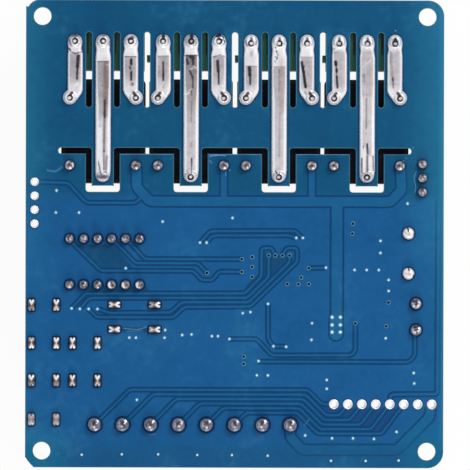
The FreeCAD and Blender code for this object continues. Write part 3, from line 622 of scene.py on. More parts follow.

# %% [markdown]
# The routes were read off the photograph, with the pin pitch as the scale. Those that end in a
# row of pins or holes use the row's own places, and the six lanes from the input terminal to the
# row of eight holes are one rule: each lane runs a lane pitch below the one before it.

# %% Routes
coil_side = 6.0
feed_row = 5.9
feed_width = 1.7
coil_feed_width = 1.1
trunk_width = 2.0
edge_width = 0.5
trunk_x = 18.6
trunk_end = -19.5
wide_band = 1.65
hole_pitch = 2.54
hole_row = bottom + 11.6
hole_columns = right - 2.11 - hole_pitch * np.arange(8)[::-1]
side_hole_x = left + 1.63
side_hole_rows = 5.58 + hole_pitch * (np.arange(4) - 1.5)
hole_clearance = 0.66        # a track ends this far from the middle of a bare hole


def to_hole(route):
    """The route, cut short before the hole in which it ends."""
    route = np.array(route, float)
    run = route[-1] - route[-2]
    route[-1] -= run * hole_clearance / np.linalg.norm(run)
    return route


fine_routes = [
    to_hole([(-17.0, 6.6), (-18.0, 5.6), (-27.0, 5.6), (-30.3, 9.2),
             (side_hole_x, side_hole_rows[3])]),
    [(-6.3, -1.6), (-4.4, 0.5), (11.0, 0.6), (12.4, -0.7)],
    [(-5.1, -1.6), (-4.0, -0.3), (10.0, -0.25), (11.2, -0.7)],
    [(-29.9, -1.2), (-29.3, -1.9), (-24.3, -6.75), (-7.5, -6.75), (-6.0, -8.4), (-4.0, -8.4),
     (-2.8, -6.85), (1.3, -6.9)],
    [(-22.4, -1.1), (-21.5, -1.7), (-18.0, -5.35), (-6.6, -5.35), (-5.0, -7.1)],
    [(-19.9, -1.1), (-19.0, -1.6), (-16.3, -4.6), (1.3, -4.6)],
    [(-29.6, -13.6), (-27.1, -10.9), (1.9, -10.8), (4.9, -7.7), (4.9, -2.6), (6.7, -2.5),
     (7.4, -3.9)],
    [(-28.1, -13.7), (-26.4, -11.7), (2.3, -11.6), (6.2, -7.8), (6.2, -3.9)],
    [(-26.5, -13.7), (-25.0, -15.2), (-11.1, -15.2), (-9.1, -13.3), (2.9, -13.2), (11.4, -5.0),
     (11.4, -2.6), (9.4, -2.5), (8.7, -3.9)],
    [(-24.9, -13.7), (-22.6, -14.4), (-11.6, -14.3), (-9.6, -12.45), (2.6, -12.4), (10.0, -5.1),
     (10.0, -3.9)],
    [(6.1, -12.7), (6.15, -19.1), (7.1, -20.4), (9.4, -20.45)],
    [(13.5, -6.2), (16.6, -6.1)],
    [(-0.9, -19.1), (4.1, -19.1), (6.8, -22.05), (21.2, -22.0), (22.0, -21.2), (22.0, -16.2)],
    [(4.4, -23.2), (31.7, -23.2), (32.8, -22.1), (32.8, -17.5)],
]
lane_pitch = 0.83
top_lane = -28.35
lane_turn = 13.4              # where the top lane turns down towards the holes
for lane, (pin, hole) in enumerate(zip(input_pins[:6], hole_columns)):
    level = top_lane - lane_pitch * lane
    turn = lane_turn - 0.4 * lane
    low_level = hole_row if lane == 0 else hole_row - 1.2 - lane_pitch * lane
    route = [(pin, input_row), (pin + level - input_row, level), (turn, level),
             (turn + level - low_level, low_level)]
    if lane:
        route.append((hole - 0.75 * (hole_row - low_level), low_level))
    fine_routes.append(to_hole(route + [(hole, hole_row)]))

supply_route = [(-17.9, 12.4), (-17.8, 8.4), (-15.4, feed_row), (28.3, feed_row), (30.3, 8.0),
                (30.1, 12.5)]
wide_routes = [
    (supply_route, feed_width),
    ([(channels[1] + coil_side, coil_row), (channels[1] + coil_side, feed_row)],
     coil_feed_width),
    ([(channels[2] + coil_side, coil_row), (channels[2] + coil_side, feed_row)],
     coil_feed_width),
    ([(trunk_x, 5.4), (trunk_x, -17.0)], trunk_width),
    (to_hole([(input_pins[7], input_row), (input_pins[7], -36.9), (12.4, -39.2), (29.6, -39.2),
              (hole_columns[7] - 0.4, -33.2), (hole_columns[7], hole_row)]), wide_band),
    (to_hole([(37.05, 6.3), (36.9, -29.0), (28.8, -29.1), (28.4, -29.4),
              (hole_columns[4], hole_row)]), edge_width),
]
tracks = wide_routes + [(route, track_width) for route in fine_routes]
gaps = [(route, width + 2 * gap_width) for route, width in tracks]
ribbons("mask_gaps", gaps, gap_and_bar_shade_finish, gap_level,
        [pill(trunk_x - 0.1, trunk_end - 0.1, -14.0, 2.9)])
ribbons("mask_tracks", tracks, track_finish, track_level,
        [pill(trunk_x - 0.1, trunk_end + 0.25, -14.4, 2.3)])

# %% [markdown]
# ## Bare laminate between tracks
# Where tracks run close together the copper between them was left out, and the board shows
# darker. Each such patch is a low closed plate between two copies of its outline.

# %% Bare patches
patch_level = 0.004
bare_outlines = [
    [(-28.7, -2.0), (-24.2, -6.2), (-18.4, -6.2), (-21.9, -2.0)],
    [(2.5, -9.0), (5.4, -6.3), (5.4, -3.2), (9.6, -4.2), (9.6, -5.2), (3.0, -11.8), (1.0, -11.4)],
    [(-28.7, -9.5), (-16.0, -9.5), (-15.6, -10.3), (-28.4, -10.3)],
    [(-15.8, -17.0), (-20.7, -17.0), (-20.7, -17.9), (-15.8, -17.9)],
]
dark_outline = [(17.2, hole_row - 0.8), (30.4, hole_row - 0.8), (26.8, -36.2), (15.2, -36.2),
                (11.4, -32.5), (13.4, -30.2)]
ribbons("bare_patches", [], bare_finish, patch_level, bare_outlines)
ribbons("dark_patches", [], dark_finish, patch_level, [dark_outline])

# %% [markdown]
# ## Edges of the board and of its slots
# A saw or a router cuts through the mask, and the lacquer is thinner and paler beside the cut.
# The CAD mesh of the board already knows every edge: on the flat solder face, an edge that only
# one triangle uses is an edge of the board, of a slot or of a hole. Each gets a thin pale strip
# on its inner side, a little longer than the edge itself so that the corners close.

# %% Pale rims
rim_width = 0.12
rim_level = 0.006
rim_overlap = 0.45           # how far a strip outruns its edge, in widths
tolerance = 0.001

board_mesh = nodes["board"].data
places = np.empty(3 * len(board_mesh.vertices))
board_mesh.vertices.foreach_get("co", places)
places = np.round(places.reshape(-1, 3) / mm, 4)
board_mesh.calc_loop_triangles()
triangles = np.empty(3 * len(board_mesh.loop_triangles), int)
board_mesh.loop_triangles.foreach_get("vertices", triangles)
spots, same = np.unique(places, axis=0, return_inverse=True)
triangles = same.ravel()[triangles].reshape(-1, 3)
flat = triangles[np.all(np.abs(spots[triangles][:, :, 2] - solder_face) < tolerance, axis=1)]
sides = np.vstack([flat[:, [0, 1]], flat[:, [1, 2]], flat[:, [2, 0]]])
_, first, count = np.unique(np.sort(sides, axis=1), axis=0, return_index=True, return_counts=True)
ends = spots[sides[first[count == 1]]][:, :, :2]
along = ends[:, 1] - ends[:, 0]
lengths = np.linalg.norm(along, axis=1)[:, None]
long_enough = lengths[:, 0] > tolerance
ends, along, lengths = ends[long_enough], along[long_enough], lengths[long_enough]
along = along / lengths
inward = np.stack([-along[:, 1], along[:, 0]], axis=1) * rim_width
stretch = along * (np.minimum(lengths, 1.0) * rim_width * rim_overlap)
start, end = ends[:, 0] - stretch, ends[:, 1] + stretch
square = np.stack([start, end, end + inward, start + inward], axis=1)
square = np.clip(square, board_low[:2], board_high[:2])
edge_count = len(square)
layers = [np.dstack([square, np.full((edge_count, 4), solder_face + z)]) for z in (0.0, rim_level)]
box_faces = np.array([(3, 2, 1, 0), (4, 5, 6, 7), (0, 1, 5, 4),
                      (1, 2, 6, 5), (2, 3, 7, 6), (3, 0, 4, 7)])
rim_faces = (box_faces + 8 * np.arange(edge_count)[:, None, None]).reshape(-1, 4)
lay("pale_rims", (np.concatenate(layers, axis=1).reshape(-1, 3), rim_faces), rim_finish)

# %% [markdown]
# ## Vias and plated holes
# A via is a small plated hole. Most of them are open, so the pale background shows as a white
# dot in a dark ring of mask; those over a chip on the other side look black. The twelve holes
# for pin rows are real holes in the board, and only need a bright rim and a plated wall.

# %% Via places
open_vias = [
    (-32.4, 7.8), (-32.5, 3.8), (-28.3, 3.8), (-13.1, 2.2), (-0.4, 2.9), (31.4, 5.6), (11.2, -0.7),
    (12.4, -0.7), (-6.3, -1.6), (-5.1, -1.6), (26.5, -1.2), (26.5, -3.4), (-19.8, -6.3),
    (16.6, -6.1), (21.8, -6.5), (24.0, -6.5), (26.2, -6.5), (28.0, -8.3), (28.0, -10.3),
    (6.1, -12.7), (-29.6, -13.6), (-28.1, -13.7), (-26.5, -13.7), (-24.9, -13.7), (1.5, -14.4),
    (2.9, -14.2), (14.1, -16.2), (-12.6, -17.5), (-9.5, -18.4), (-7.8, -18.3), (-4.1, -18.6),
    (-3.0, -18.6), (-19.1, -18.9), (-17.9, -18.9), (-12.7, -18.9), (-0.9, -19.1), (27.5, -18.9),
    (14.0, -19.2), (7.1, -20.4), (9.4, -20.5), (4.4, -23.1), (32.6, -25.2), (4.1, -25.7),
    (6.1, -25.7), (16.8, -26.5), (32.7, -27.1), (16.8, -28.1), (-17.7, -30.2), (29.5, -35.9),
    (12.9, -36.6), (17.8, -37.1), (21.6, -37.1), (25.4, -37.2), (-27.7, -40.2), (-20.4, -40.1),
    (-13.8, -40.1), (-6.7, -40.2), (-0.4, -40.2), (6.1, -40.3), (17.6, -41.2), (23.9, -41.2),
    (29.9, -41.1),
]
trunk_vias = [(trunk_x + side, row) for row in (-15.1, -16.5, -17.8) for side in (-0.85, 0.65)]
dark_vias = [
    (-5.0, -7.1), (1.3, -4.6), (3.2, -4.2), (3.2, -6.0), (1.3, -6.9), (3.2, -7.8), (6.2, -3.9),
    (7.4, -3.9), (8.7, -3.9), (10.0, -3.9), (13.5, -6.2), (12.1, -7.9), (9.6, -9.1), (11.6, -9.1),
    (13.5, -9.1), (21.5, 1.9), (21.4, 0.1), (28.0, -12.4), (27.6, -16.7), (1.7, -22.3),
    (1.7, -23.6), (22.0, -16.2),
]
print(len(open_vias + trunk_vias), "open vias,", len(dark_vias), "dark ones")

# %% [markdown]
# Boring some ninety holes would take as many cuts, and each would show as a dot. A low ring with
# a disc in its mouth looks the same, and one form serves for all the vias of a kind.

# %% Vias
via_rise = 0.075
via_bevel = 0.12
via_segments = 14


def via_ring(outer, mouth):
    return looped(turned([(outer, 0.0), (outer - via_bevel, via_rise), (mouth, via_rise),
                          (mouth, 0.0)], via_segments))


def via_mouth(mouth):
    return capped(turned([(mouth - 0.01, 0.0), (mouth - 0.01, via_rise - 0.01)], via_segments))


# The disc in an open via's mouth is near white, for the white floor seen through the hole; the one
# in a dark via is near black, painted shade in a hole that a chip closes.
light_finish = Finish("light_through_hole", Roughness=0.6)
light_finish.colour(light_finish.mix(light_finish.noise(0.3), srgb(236, 248, 255),
                                     srgb(176, 222, 244)))
hole_finish = Finish("dark_hole", Roughness=0.8, Specular_IOR_Level=0.05)
hole_finish.colour(hole_finish.mix(hole_finish.noise(0.3), srgb(2, 26, 48), srgb(6, 34, 60)))
for name, form, centres, finish in (
        ("via_rings", via_ring(0.42, 0.22), open_vias, ring_finish),
        ("via_rings_wide", via_ring(0.5, 0.3), trunk_vias, ring_finish),
        ("via_rings_dark", via_ring(0.42, 0.26), dark_vias, pale_ring_finish),
        ("via_mouths", via_mouth(0.22), open_vias, light_finish),
        ("via_mouths_wide", via_mouth(0.3), trunk_vias, light_finish),
        ("via_mouths_dark", via_mouth(0.26), dark_vias, hole_finish)):
    lay(name, spread(form, centres), finish, smooth=True)

# %% [markdown]
# ## Solder and tin
# Solder is bright where it slopes and greyer where it lies flat: the tent's reflection gives part
# of that, and painted highlight and shade in each piece's tone give the rest, with painted shade in
# its creases and a brown cast where it ran thin. That is not a pattern in space: it follows how the
# solder ran. So each solder piece carries two numbers for every point, its tone and its warmth,
# and one finish turns them into colour and gloss. Where the warmth is below 0 the solder is
# cold: bluer, which is a painted reflection of the blue board, and smoother and more metallic,
# so that a steep rim also mirrors it.

# %% Solder finish
# The cold colours are a painted reflection of the blue board.
warm_dark, warm_light = srgb(40, 26, 20), srgb(196, 166, 150)
board_reflection_dark, board_reflection_light = srgb(80, 94, 122), srgb(204, 216, 240)
tin_stops = (
    (0.0, srgb(20, 20, 28)), (0.25, srgb(76, 76, 88)), (0.5, srgb(168, 163, 169)),
    (0.72, srgb(222, 217, 222)), (0.9, srgb(252, 252, 255)), (1.0, srgb(255, 255, 255)))

solder = Finish("solder", Specular_IOR_Level=0.5)
tone = solder.attribute("tone") + (solder.noise(0.45, detail=4.0, roughness=0.6) - 0.5) * 0.2
tone = tone + (solder.noise(1.5, detail=2.0) - 0.5) * 0.22
warmth = solder.attribute("warmth")
coldness = solder.step(0 - warmth, 0.0, 1.0)
tin = solder.node("ShaderNodeValToRGB", {"stops": tin_stops}, {"Fac": tone})
warm = solder.mix(warmth, tin, solder.mix(tone, warm_dark, warm_light))
solder.colour(solder.mix(coldness, warm, solder.mix(tone, board_reflection_dark, board_reflection_light)))
solder.link("Metallic", coldness * 0.7 + 0.3)
solder.roughness(0.42 - tone * 0.16 - coldness * 0.14)
solder.bump(solder.noise(0.9, detail=3.0) + solder.noise(0.2) * 0.3, 0.05)


print("solder finish ready")

# %% [markdown]
# The two numbers are worked out where the shape is. A mark is a soft stroke between two points
# that darkens or brightens the tone, like the touch of a brush, and a few of them make each
# crease's painted shade and each gleam's painted highlight. A pattern of noise could not put them
# where the solder ran.

# %% Marks on solder
def solder_part(rings, tone, warmth, place=(0.0, 0.0)):
    """Rings as a closed form on the solder face, with the two numbers of each point. The points
    in the middle of its ends take the mean of their ring."""
    points, faces = capped(rings)
    marks = [np.append(grid.ravel(), (grid[0].mean(), grid[-1].mean())) for grid in (tone, warmth)]
    return points + np.array([*place, solder_face]), faces, *marks


def add_solder(name, parts, replaced):
    """A piece of solder from (points, faces, tone, warmth) parts, in the place of a CAD node."""
    piece = add_piece(name, *join([part[:2] for part in parts]), solder.material, "solder")
    for mark, column in (("tone", 2), ("warmth", 3)):
        values = np.concatenate([part[column] for part in parts]).astype(np.float32)
        piece.data.attributes.new(mark, "FLOAT", "POINT").data.foreach_set("value", values)
    if replaced:
        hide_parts(replaced)


def fall(value, near, far):
    """1 up to near and 0 from far on, smooth between them."""
    share = np.clip((far - value) / (far - near), 0, 1)
    return share * share * (3 - 2 * share)


def stroke(x, y, start, end, width):
    """How strong a mark is at each point: 1 on the line from start to end, 0 a width away."""
    start, end = np.array(start, float), np.array(end, float)
    run = end - start
    share = ((x - start[0]) * run[0] + (y - start[1]) * run[1]) / max(run @ run, 1e-9)
    share = np.clip(share, 0, 1)
    gap = np.hypot(x - start[0] - share * run[0], y - start[1] - share * run[1])
    return fall(gap, width * 0.3, width)


def marked(tone, x, y, marks):
    """The tone with marks added: each is x0, y0, x1, y1, half width and change of tone."""
    for x0, y0, x1, y1, width, change in marks:
        tone = tone + change * stroke(x, y, (x0, y0), (x1, y1), width)
    return tone


print("marks ready")

# %% [markdown]
# ## Thick solder bars
# The tracks between the relays and the terminals carry mains current, so they are left bare and
# flooded with solder. Each bar is the trail of a round brush: a head round the terminal's pin, a
# neck, a straight strip and a last dab at the relay's pin. Its outline at any height up the board
# is the widest reach of the brush there, which gives round ends and soft notches for free.

# %% Bar shape
bar_rise = 0.88
bar_mound = 1.46
bar_end = 0.7                # the length over which an end rounds off
mound_reach = (0.7, 1.25)    # full height within the first radius, none beyond the second
head_radius = 1.3
strip_half = 1.4
row_step = 0.11
bar_columns = 30
brush_steps = 400


def brush_outline(path, extra=0.0):
    """Rows of the area that a round brush covers: path is (x, y, radius), and the reach at a row
    is the least x - sqrt(r^2 - (row - y)^2) and the greatest x + the same, over the path."""
    path = np.array(path, float)
    steps = np.concatenate([[0], np.cumsum(np.hypot(*np.diff(path[:, :2], axis=0).T))])
    fine = np.linspace(0, steps[-1], brush_steps)
    x, y, radius = (np.interp(fine, steps, path[:, k]) for k in range(3))
    radius = radius + extra
    low, high = np.min(y - radius), np.max(y + radius)
    count = int((high - low) / row_step)
    swing = np.cos(np.linspace(0, math.pi, count))
    rows = (low + high) / 2 - (high - low) / 2 * 0.9995 * swing
    reach_squared = radius ** 2 - (rows[:, None] - y) ** 2
    reach = np.sqrt(np.maximum(reach_squared, 0))
    left_edge = np.min(np.where(reach_squared > 0, x - reach, 1e3), axis=1)
    right_edge = np.max(np.where(reach_squared > 0, x + reach, -1e3), axis=1)
    return rows, left_edge, right_edge


def bar_surface(path, pins):
    """Rows by columns over a bar: across it the height goes with (1 - t^4)^(1/2), it rounds off
    at each end, and it rises over each pin."""
    rows, left_edge, right_edge = brush_outline(path)
    share = np.sin(np.linspace(-math.pi / 2, math.pi / 2, bar_columns))
    middle, half = (left_edge + right_edge) / 2, (right_edge - left_edge) / 2
    x = middle[:, None] + half[:, None] * share
    y = np.repeat(rows[:, None], bar_columns, axis=1)
    from_end = np.minimum(rows - rows[0], rows[-1] - rows)
    ends = np.sqrt(1 - (1 - np.clip(from_end / bar_end, 0, 1)) ** 4)[:, None]
    height = bar_rise * ends * np.sqrt(np.maximum(1 - share ** 4, 0))
    for pin in pins:
        mound = fall(np.hypot(x - pin[0], y - pin[1]), *mound_reach) * ends * (1 - share ** 8)
        height = height + (bar_mound - height) * mound
    return x, y, height, share


print("bar helpers ready")

# %% [markdown]
# A relay has three bars: a left and a right one that lead to its contacts, and a long one to its
# common pin. Each has a painted highlight towards its edges, and at both ends a ring of painted
# shade where the solder dips round the pin.

# %% Paths and tones of the bars
outer_shift = 5.03           # the outer strips, from their relay's middle line
long_shift = 0.05            # the long strip, from the same line
end_row = contact_row + 0.04
foot_row = common_row + 0.38


def outer_path(centre, side):
    """Head round the terminal's pin, straight strip, and a round end at the relay's pin."""
    pin_x, strip_x, end_x, neck_x = (centre + side * shift for shift in (
        terminal_pitch, outer_shift, contact_side, outer_shift - 0.2))
    return [(pin_x, output_row - 0.05, head_radius), (pin_x, output_row - 0.4, 1.36),
            (pin_x, output_row - 1.5, 1.22), (strip_x, output_row - 2.6, strip_half),
            (strip_x, end_row + 1.6, strip_half), (neck_x, end_row + 1.2, 1.08),
            (end_x, end_row, head_radius)]


def long_path(centre):
    """Head round the terminal's pin, and a straight strip to a round end at the common pin."""
    strip_x = centre + long_shift
    return [(centre, output_row - 0.05, head_radius), (centre, output_row - 0.4, 1.38),
            (centre, output_row - 1.6, 1.24), (strip_x, output_row - 3.0, 1.42),
            (strip_x, foot_row + 1.0, 1.42), (centre, foot_row, 1.33)]


def pin_marks(x, y, shade, lean, turn, dot):
    """A ring of painted shade that is open on one side, the tip of the pin in it, and a painted
    shade beside it.
    """
    angles = np.arange(0, 6.2, 0.7)
    ring_x, ring_y = x + 0.45 * np.cos(angles), y + 0.45 * np.sin(angles)
    next_x, next_y = x + 0.45 * np.cos(angles + 0.7), y + 0.45 * np.sin(angles + 0.7)
    change = -0.42 - 0.22 * np.cos(angles - turn)
    ring = list(zip(ring_x, ring_y, next_x, next_y, [0.24] * len(angles), change))
    return ring + [(x, y, x, y, 0.28, dot),
                   (x + lean * 0.1, y + 0.5, x + lean * 0.4, y + 0.95, 0.4, shade)]


def bar_tone(x, y, share, middle, levels, marks):
    """Tones up the bar, a painted highlight towards its edges and painted shade at their brink,
    then the marks.
    """
    heights, tones = np.array(levels, float).T
    tone = np.interp(y, heights, tones)
    low = fall(y, 23.0, 28.0)
    edge = fall(np.abs(np.abs(share) - 0.87), 0.08 + 0.06 * low, 0.18 + 0.2 * low)
    tone = tone + edge * (0.95 - tone) - 0.24 * (1 - fall(np.abs(share), 0.94, 1.0))
    return np.clip(marked(tone, x - middle, y, marks), 0, 1)


print("paths and tones ready")

# %% [markdown]
# Each bar gets its own run of solder. Its levels say how bright it is at some heights up the
# board, painted highlight and shade, with a sudden step where the head ends in a crease. Its marks
# are strokes, in millimetres sideways from the bar's middle line and up the board. Both were
# chosen beside the photograph. Every relay has a left, a long and a right bar, each with its
# levels, how brown it is, and its marks.

# %% Notes on the bars
short_low = ((22.0, 0.95), (24.0, 0.93), (26.4, 0.82), (28.0, 0.64), (29.0, 0.56))
bar_notes = [
    [(short_low + ((32.7, 0.55), (32.85, 0.84), (34.4, 0.88), (36.3, 0.55)), 0.1,
      [(0.55, 32.2, 0.42, 30.4, 0.45, -0.5), (0.42, 30.4, 0.33, 28.1, 0.26, -0.45),
       (-1.1, 33.6, -0.9, 33.3, 0.26, -0.6), (-0.8, 33.0, 0.0, 32.75, 0.16, -0.5),
       (0.0, 32.75, 1.2, 33.0, 0.16, -0.5), (-0.9, 36.0, 0.9, 36.0, 0.5, -0.25),
       (-1.1, 35.2, -0.8, 34.2, 0.3, -0.35), (1.2, 34.6, 1.1, 33.4, 0.25, -0.3),
       (0.5, 27.3, 0.0, 26.8, 0.3, 0.2)]),
     (((9.0, 0.7), (12.0, 0.74), (20.2, 0.72), (21.6, 0.62), (25.0, 0.56), (31.3, 0.52),
       (31.42, 0.86), (34.0, 0.86), (36.3, 0.66)), 0.5,
      [(0.55, 30.8, 0.55, 21.5, 0.7, -0.16), (0.3, 24.2, 0.2, 15.0, 0.3, -0.34),
       (0.2, 15.0, 0.1, 11.6, 0.2, -0.3), (-0.55, 19.0, -0.6, 14.0, 0.5, 0.2),
       (-0.35, 13.6, -0.2, 11.3, 0.34, 0.3), (-0.85, 13.0, -0.3, 10.7, 0.16, -0.45),
       (0.7, 14.0, 0.5, 11.2, 0.4, -0.25), (-0.9, 10.3, 0.9, 10.3, 0.5, -0.4),
       (-1.2, 31.2, 1.2, 31.3, 0.14, -0.25), (0.6, 30.7, 1.1, 30.6, 0.2, 0.15),
       (1.2, 34.9, 1.15, 34.2, 0.24, -0.5), (-0.5, 36.1, 0.6, 36.1, 0.4, -0.2)]),
     (short_low + ((32.15, 0.56), (32.25, 0.84), (34.0, 0.93), (36.3, 0.96)), 0.1,
      [(0.1, 31.6, 0.1, 30.8, 0.36, -0.55), (-0.15, 30.3, 0.0, 29.9, 0.24, -0.4),
       (0.1, 29.4, 0.1, 27.9, 0.26, -0.55), (0.3, 27.2, 0.3, 27.1, 0.4, -0.4),
       (-0.35, 35.3, 0.4, 35.6, 0.5, -0.6), (-1.2, 32.2, 1.2, 32.2, 0.12, -0.3)])],
    [(short_low + ((32.2, 0.58), (32.3, 0.84), (34.0, 0.9), (36.3, 0.66)), 0.15,
      [(-0.05, 31.2, 0.0, 29.0, 0.24, -0.45), (0.0, 29.0, 0.0, 27.9, 0.28, -0.55),
       (-1.2, 32.25, 1.2, 32.25, 0.13, -0.35), (0.1, 26.9, 0.1, 26.5, 0.3, -0.15),
       (0.05, 35.6, 0.0, 36.2, 0.45, -0.4), (-0.85, 35.5, -0.85, 34.8, 0.16, -0.3),
       (0.85, 35.5, 0.85, 34.8, 0.16, -0.3)]),
     (((9.0, 0.74), (12.0, 0.7), (21.0, 0.62), (23.5, 0.58), (26.0, 0.52), (30.0, 0.42),
       (32.35, 0.36), (32.5, 0.86), (34.0, 0.86), (35.0, 0.6), (36.3, 0.55)), 0.35,
      [(-1.2, 32.4, 1.2, 32.4, 0.22, -0.4), (-0.1, 32.1, 0.35, 31.9, 0.42, -0.3),
       (-0.8, 31.6, -0.6, 30.9, 0.4, -0.2), (0.3, 31.6, 0.35, 30.8, 0.3, -0.3),
       (-0.3, 29.6, 0.25, 28.4, 0.26, -0.3), (0.25, 28.4, 0.3, 26.4, 0.2, -0.3),
       (0.0, 25.9, 0.1, 25.2, 0.2, -0.25), (0.5, 30.4, 0.9, 30.1, 0.2, 0.3),
       (-0.2, 29.9, 0.4, 30.1, 0.18, 0.25), (-0.9, 25.3, -0.3, 25.7, 0.16, 0.35),
       (-0.4, 26.0, 0.3, 26.4, 0.12, 0.3), (0.1, 24.0, 0.0, 20.5, 0.2, -0.14),
       (0.0, 16.4, 0.0, 15.8, 0.34, -0.12), (0.1, 13.7, 0.1, 12.4, 0.22, -0.5),
       (0.1, 12.2, 0.0, 10.8, 0.14, -0.4), (-0.8, 11.6, -0.4, 10.9, 0.12, -0.3),
       (0.1, 35.7, 0.1, 36.2, 0.5, -0.3), (0.0, 35.0, 0.0, 34.9, 0.5, -0.12)]),
     (short_low + ((32.25, 0.56), (32.35, 0.84), (34.0, 0.93), (36.3, 0.8)), 0.1,
      [(-0.2, 31.4, -0.1, 29.6, 0.36, -0.5), (-0.05, 29.6, 0.05, 27.2, 0.24, -0.55),
       (-1.1, 32.15, 0.2, 32.45, 0.12, -0.4), (0.2, 32.45, 1.2, 32.2, 0.12, -0.4),
       (-0.3, 35.9, 0.25, 36.1, 0.36, -0.8), (0.6, 35.9, 0.9, 35.6, 0.2, -0.6),
       (0.4, 35.3, 0.8, 35.2, 0.2, -0.5), (1.1, 35.1, 1.1, 34.7, 0.16, -0.7),
       (-0.9, 35.4, -0.5, 35.9, 0.2, -0.35)])],
    [(((22.0, 0.95), (24.0, 0.93), (26.0, 0.84), (27.4, 0.62), (30.4, 0.56), (30.5, 0.8),
       (33.0, 0.84), (36.3, 0.98)), 0.1,
      [(-0.35, 30.2, -0.28, 28.9, 0.42, -0.5), (-0.25, 28.9, -0.2, 27.2, 0.28, -0.45),
       (0.0, 33.0, 0.0, 32.4, 0.4, -0.22), (-1.05, 34.9, -0.8, 34.2, 0.3, -0.35),
       (0.85, 34.9, 0.8, 34.5, 0.26, -0.3), (-1.2, 30.45, 1.2, 30.45, 0.12, -0.25)]),
     (((9.0, 0.84), (11.5, 0.72), (26.0, 0.62), (30.3, 0.58), (30.42, 0.84), (33.0, 0.86),
       (36.3, 0.98)), 0.45,
      [(-0.75, 33.9, -0.7, 33.8, 0.16, -0.7), (-0.55, 33.2, -0.5, 33.1, 0.2, -0.7),
       (-0.4, 32.8, -0.2, 32.6, 0.24, -0.3), (-0.7, 32.2, -0.4, 31.9, 0.2, -0.35),
       (-0.3, 32.4, -0.5, 31.6, 0.14, -0.35), (-0.9, 31.5, -0.7, 31.2, 0.16, -0.4),
       (0.0, 29.9, 0.0, 25.9, 0.14, -0.14), (-1.2, 30.4, 1.2, 30.4, 0.12, -0.25),
       (0.1, 22.0, 0.0, 14.0, 0.26, -0.12), (-0.65, 11.4, -0.35, 10.9, 0.13, -0.8),
       (0.1, 11.3, 0.1, 10.8, 0.1, -0.3)]),
     (((22.0, 0.95), (24.0, 0.92), (25.8, 0.84), (26.8, 0.62), (32.0, 0.58), (32.12, 0.84),
       (34.0, 0.93), (36.3, 0.97)), 0.15,
      [(-0.95, 31.2, -0.6, 29.5, 0.36, -0.55), (-0.6, 29.5, -0.2, 26.7, 0.32, -0.7),
       (-0.4, 30.5, -0.7, 30.2, 0.2, -0.3), (-0.3, 25.8, -0.1, 25.4, 0.3, -0.3),
       (-1.2, 32.1, 1.2, 32.1, 0.12, -0.3), (-0.9, 35.0, -0.7, 35.3, 0.2, -0.3)])],
    [(((22.0, 0.95), (24.0, 0.92), (25.8, 0.84), (26.8, 0.64), (33.0, 0.6), (33.7, 0.92),
       (36.3, 0.98)), 0.1,
      [(-0.7, 31.3, -0.65, 30.8, 0.4, -0.6), (-0.5, 29.9, -0.5, 29.5, 0.32, -0.5),
       (-0.5, 28.6, -0.35, 26.6, 0.26, -0.55), (-0.9, 33.0, -0.3, 33.1, 0.2, -0.15),
       (-0.6, 30.6, -0.5, 28.5, 0.2, -0.3), (-1.0, 33.8, -0.9, 33.6, 0.2, -0.4)]),
     (((9.0, 0.62), (11.0, 0.62), (13.0, 0.68), (20.0, 0.7), (24.9, 0.74), (25.3, 0.64),
       (33.0, 0.62), (33.9, 0.92), (36.3, 0.98)), 0.2,
      [(-0.7, 28.9, -0.6, 27.8, 0.4, -0.14), (-0.2, 24.6, -0.2, 19.2, 0.2, -0.3),
       (-0.8, 30.5, 0.6, 31.6, 0.2, 0.1), (0.0, 16.4, 0.1, 14.6, 0.22, -0.55),
       (-1.0, 13.8, -1.0, 11.2, 0.22, -0.6), (1.05, 14.2, 1.1, 11.6, 0.22, -0.5),
       (0.0, 14.2, 0.05, 11.4, 0.2, -0.35), (-0.5, 15.6, -0.55, 11.4, 0.3, 0.3),
       (0.5, 14.0, 0.55, 11.4, 0.3, 0.25), (-0.7, 16.0, -0.6, 15.4, 0.14, -0.4)]),
     (((22.0, 0.95), (24.0, 0.92), (26.0, 0.86), (27.2, 0.66), (33.0, 0.64), (34.0, 0.9),
       (36.3, 0.95)), 0.1,
      [(-0.75, 32.2, -0.4, 28.0, 0.4, -0.14), (-0.4, 28.4, -0.25, 26.6, 0.24, -0.3),
       (-0.9, 33.2, -0.6, 32.6, 0.3, -0.14), (-0.4, 35.2, 0.3, 35.1, 0.5, -0.4),
       (0.5, 35.0, 0.6, 34.6, 0.3, -0.25)])],
]
print(sum(len(marks) for notes in bar_notes for levels, brown, marks in notes), "marks")

# %% Twelve bars
head_shades = (-0.1, -0.3, -0.6, -0.65)      # one for each of the four relays
head_dots = (0.2, 0.1, 0.15, -0.3)
foot_shade = -0.75
foot_dots = (0.1, -0.15, -0.15, -0.2)
common_dots = (None, 0.2, -0.1, 0.25)
pin_drops = (0.05, 0.05, 0.4, 0.4)
outline_margin = 0.24
outline_level = 0.007

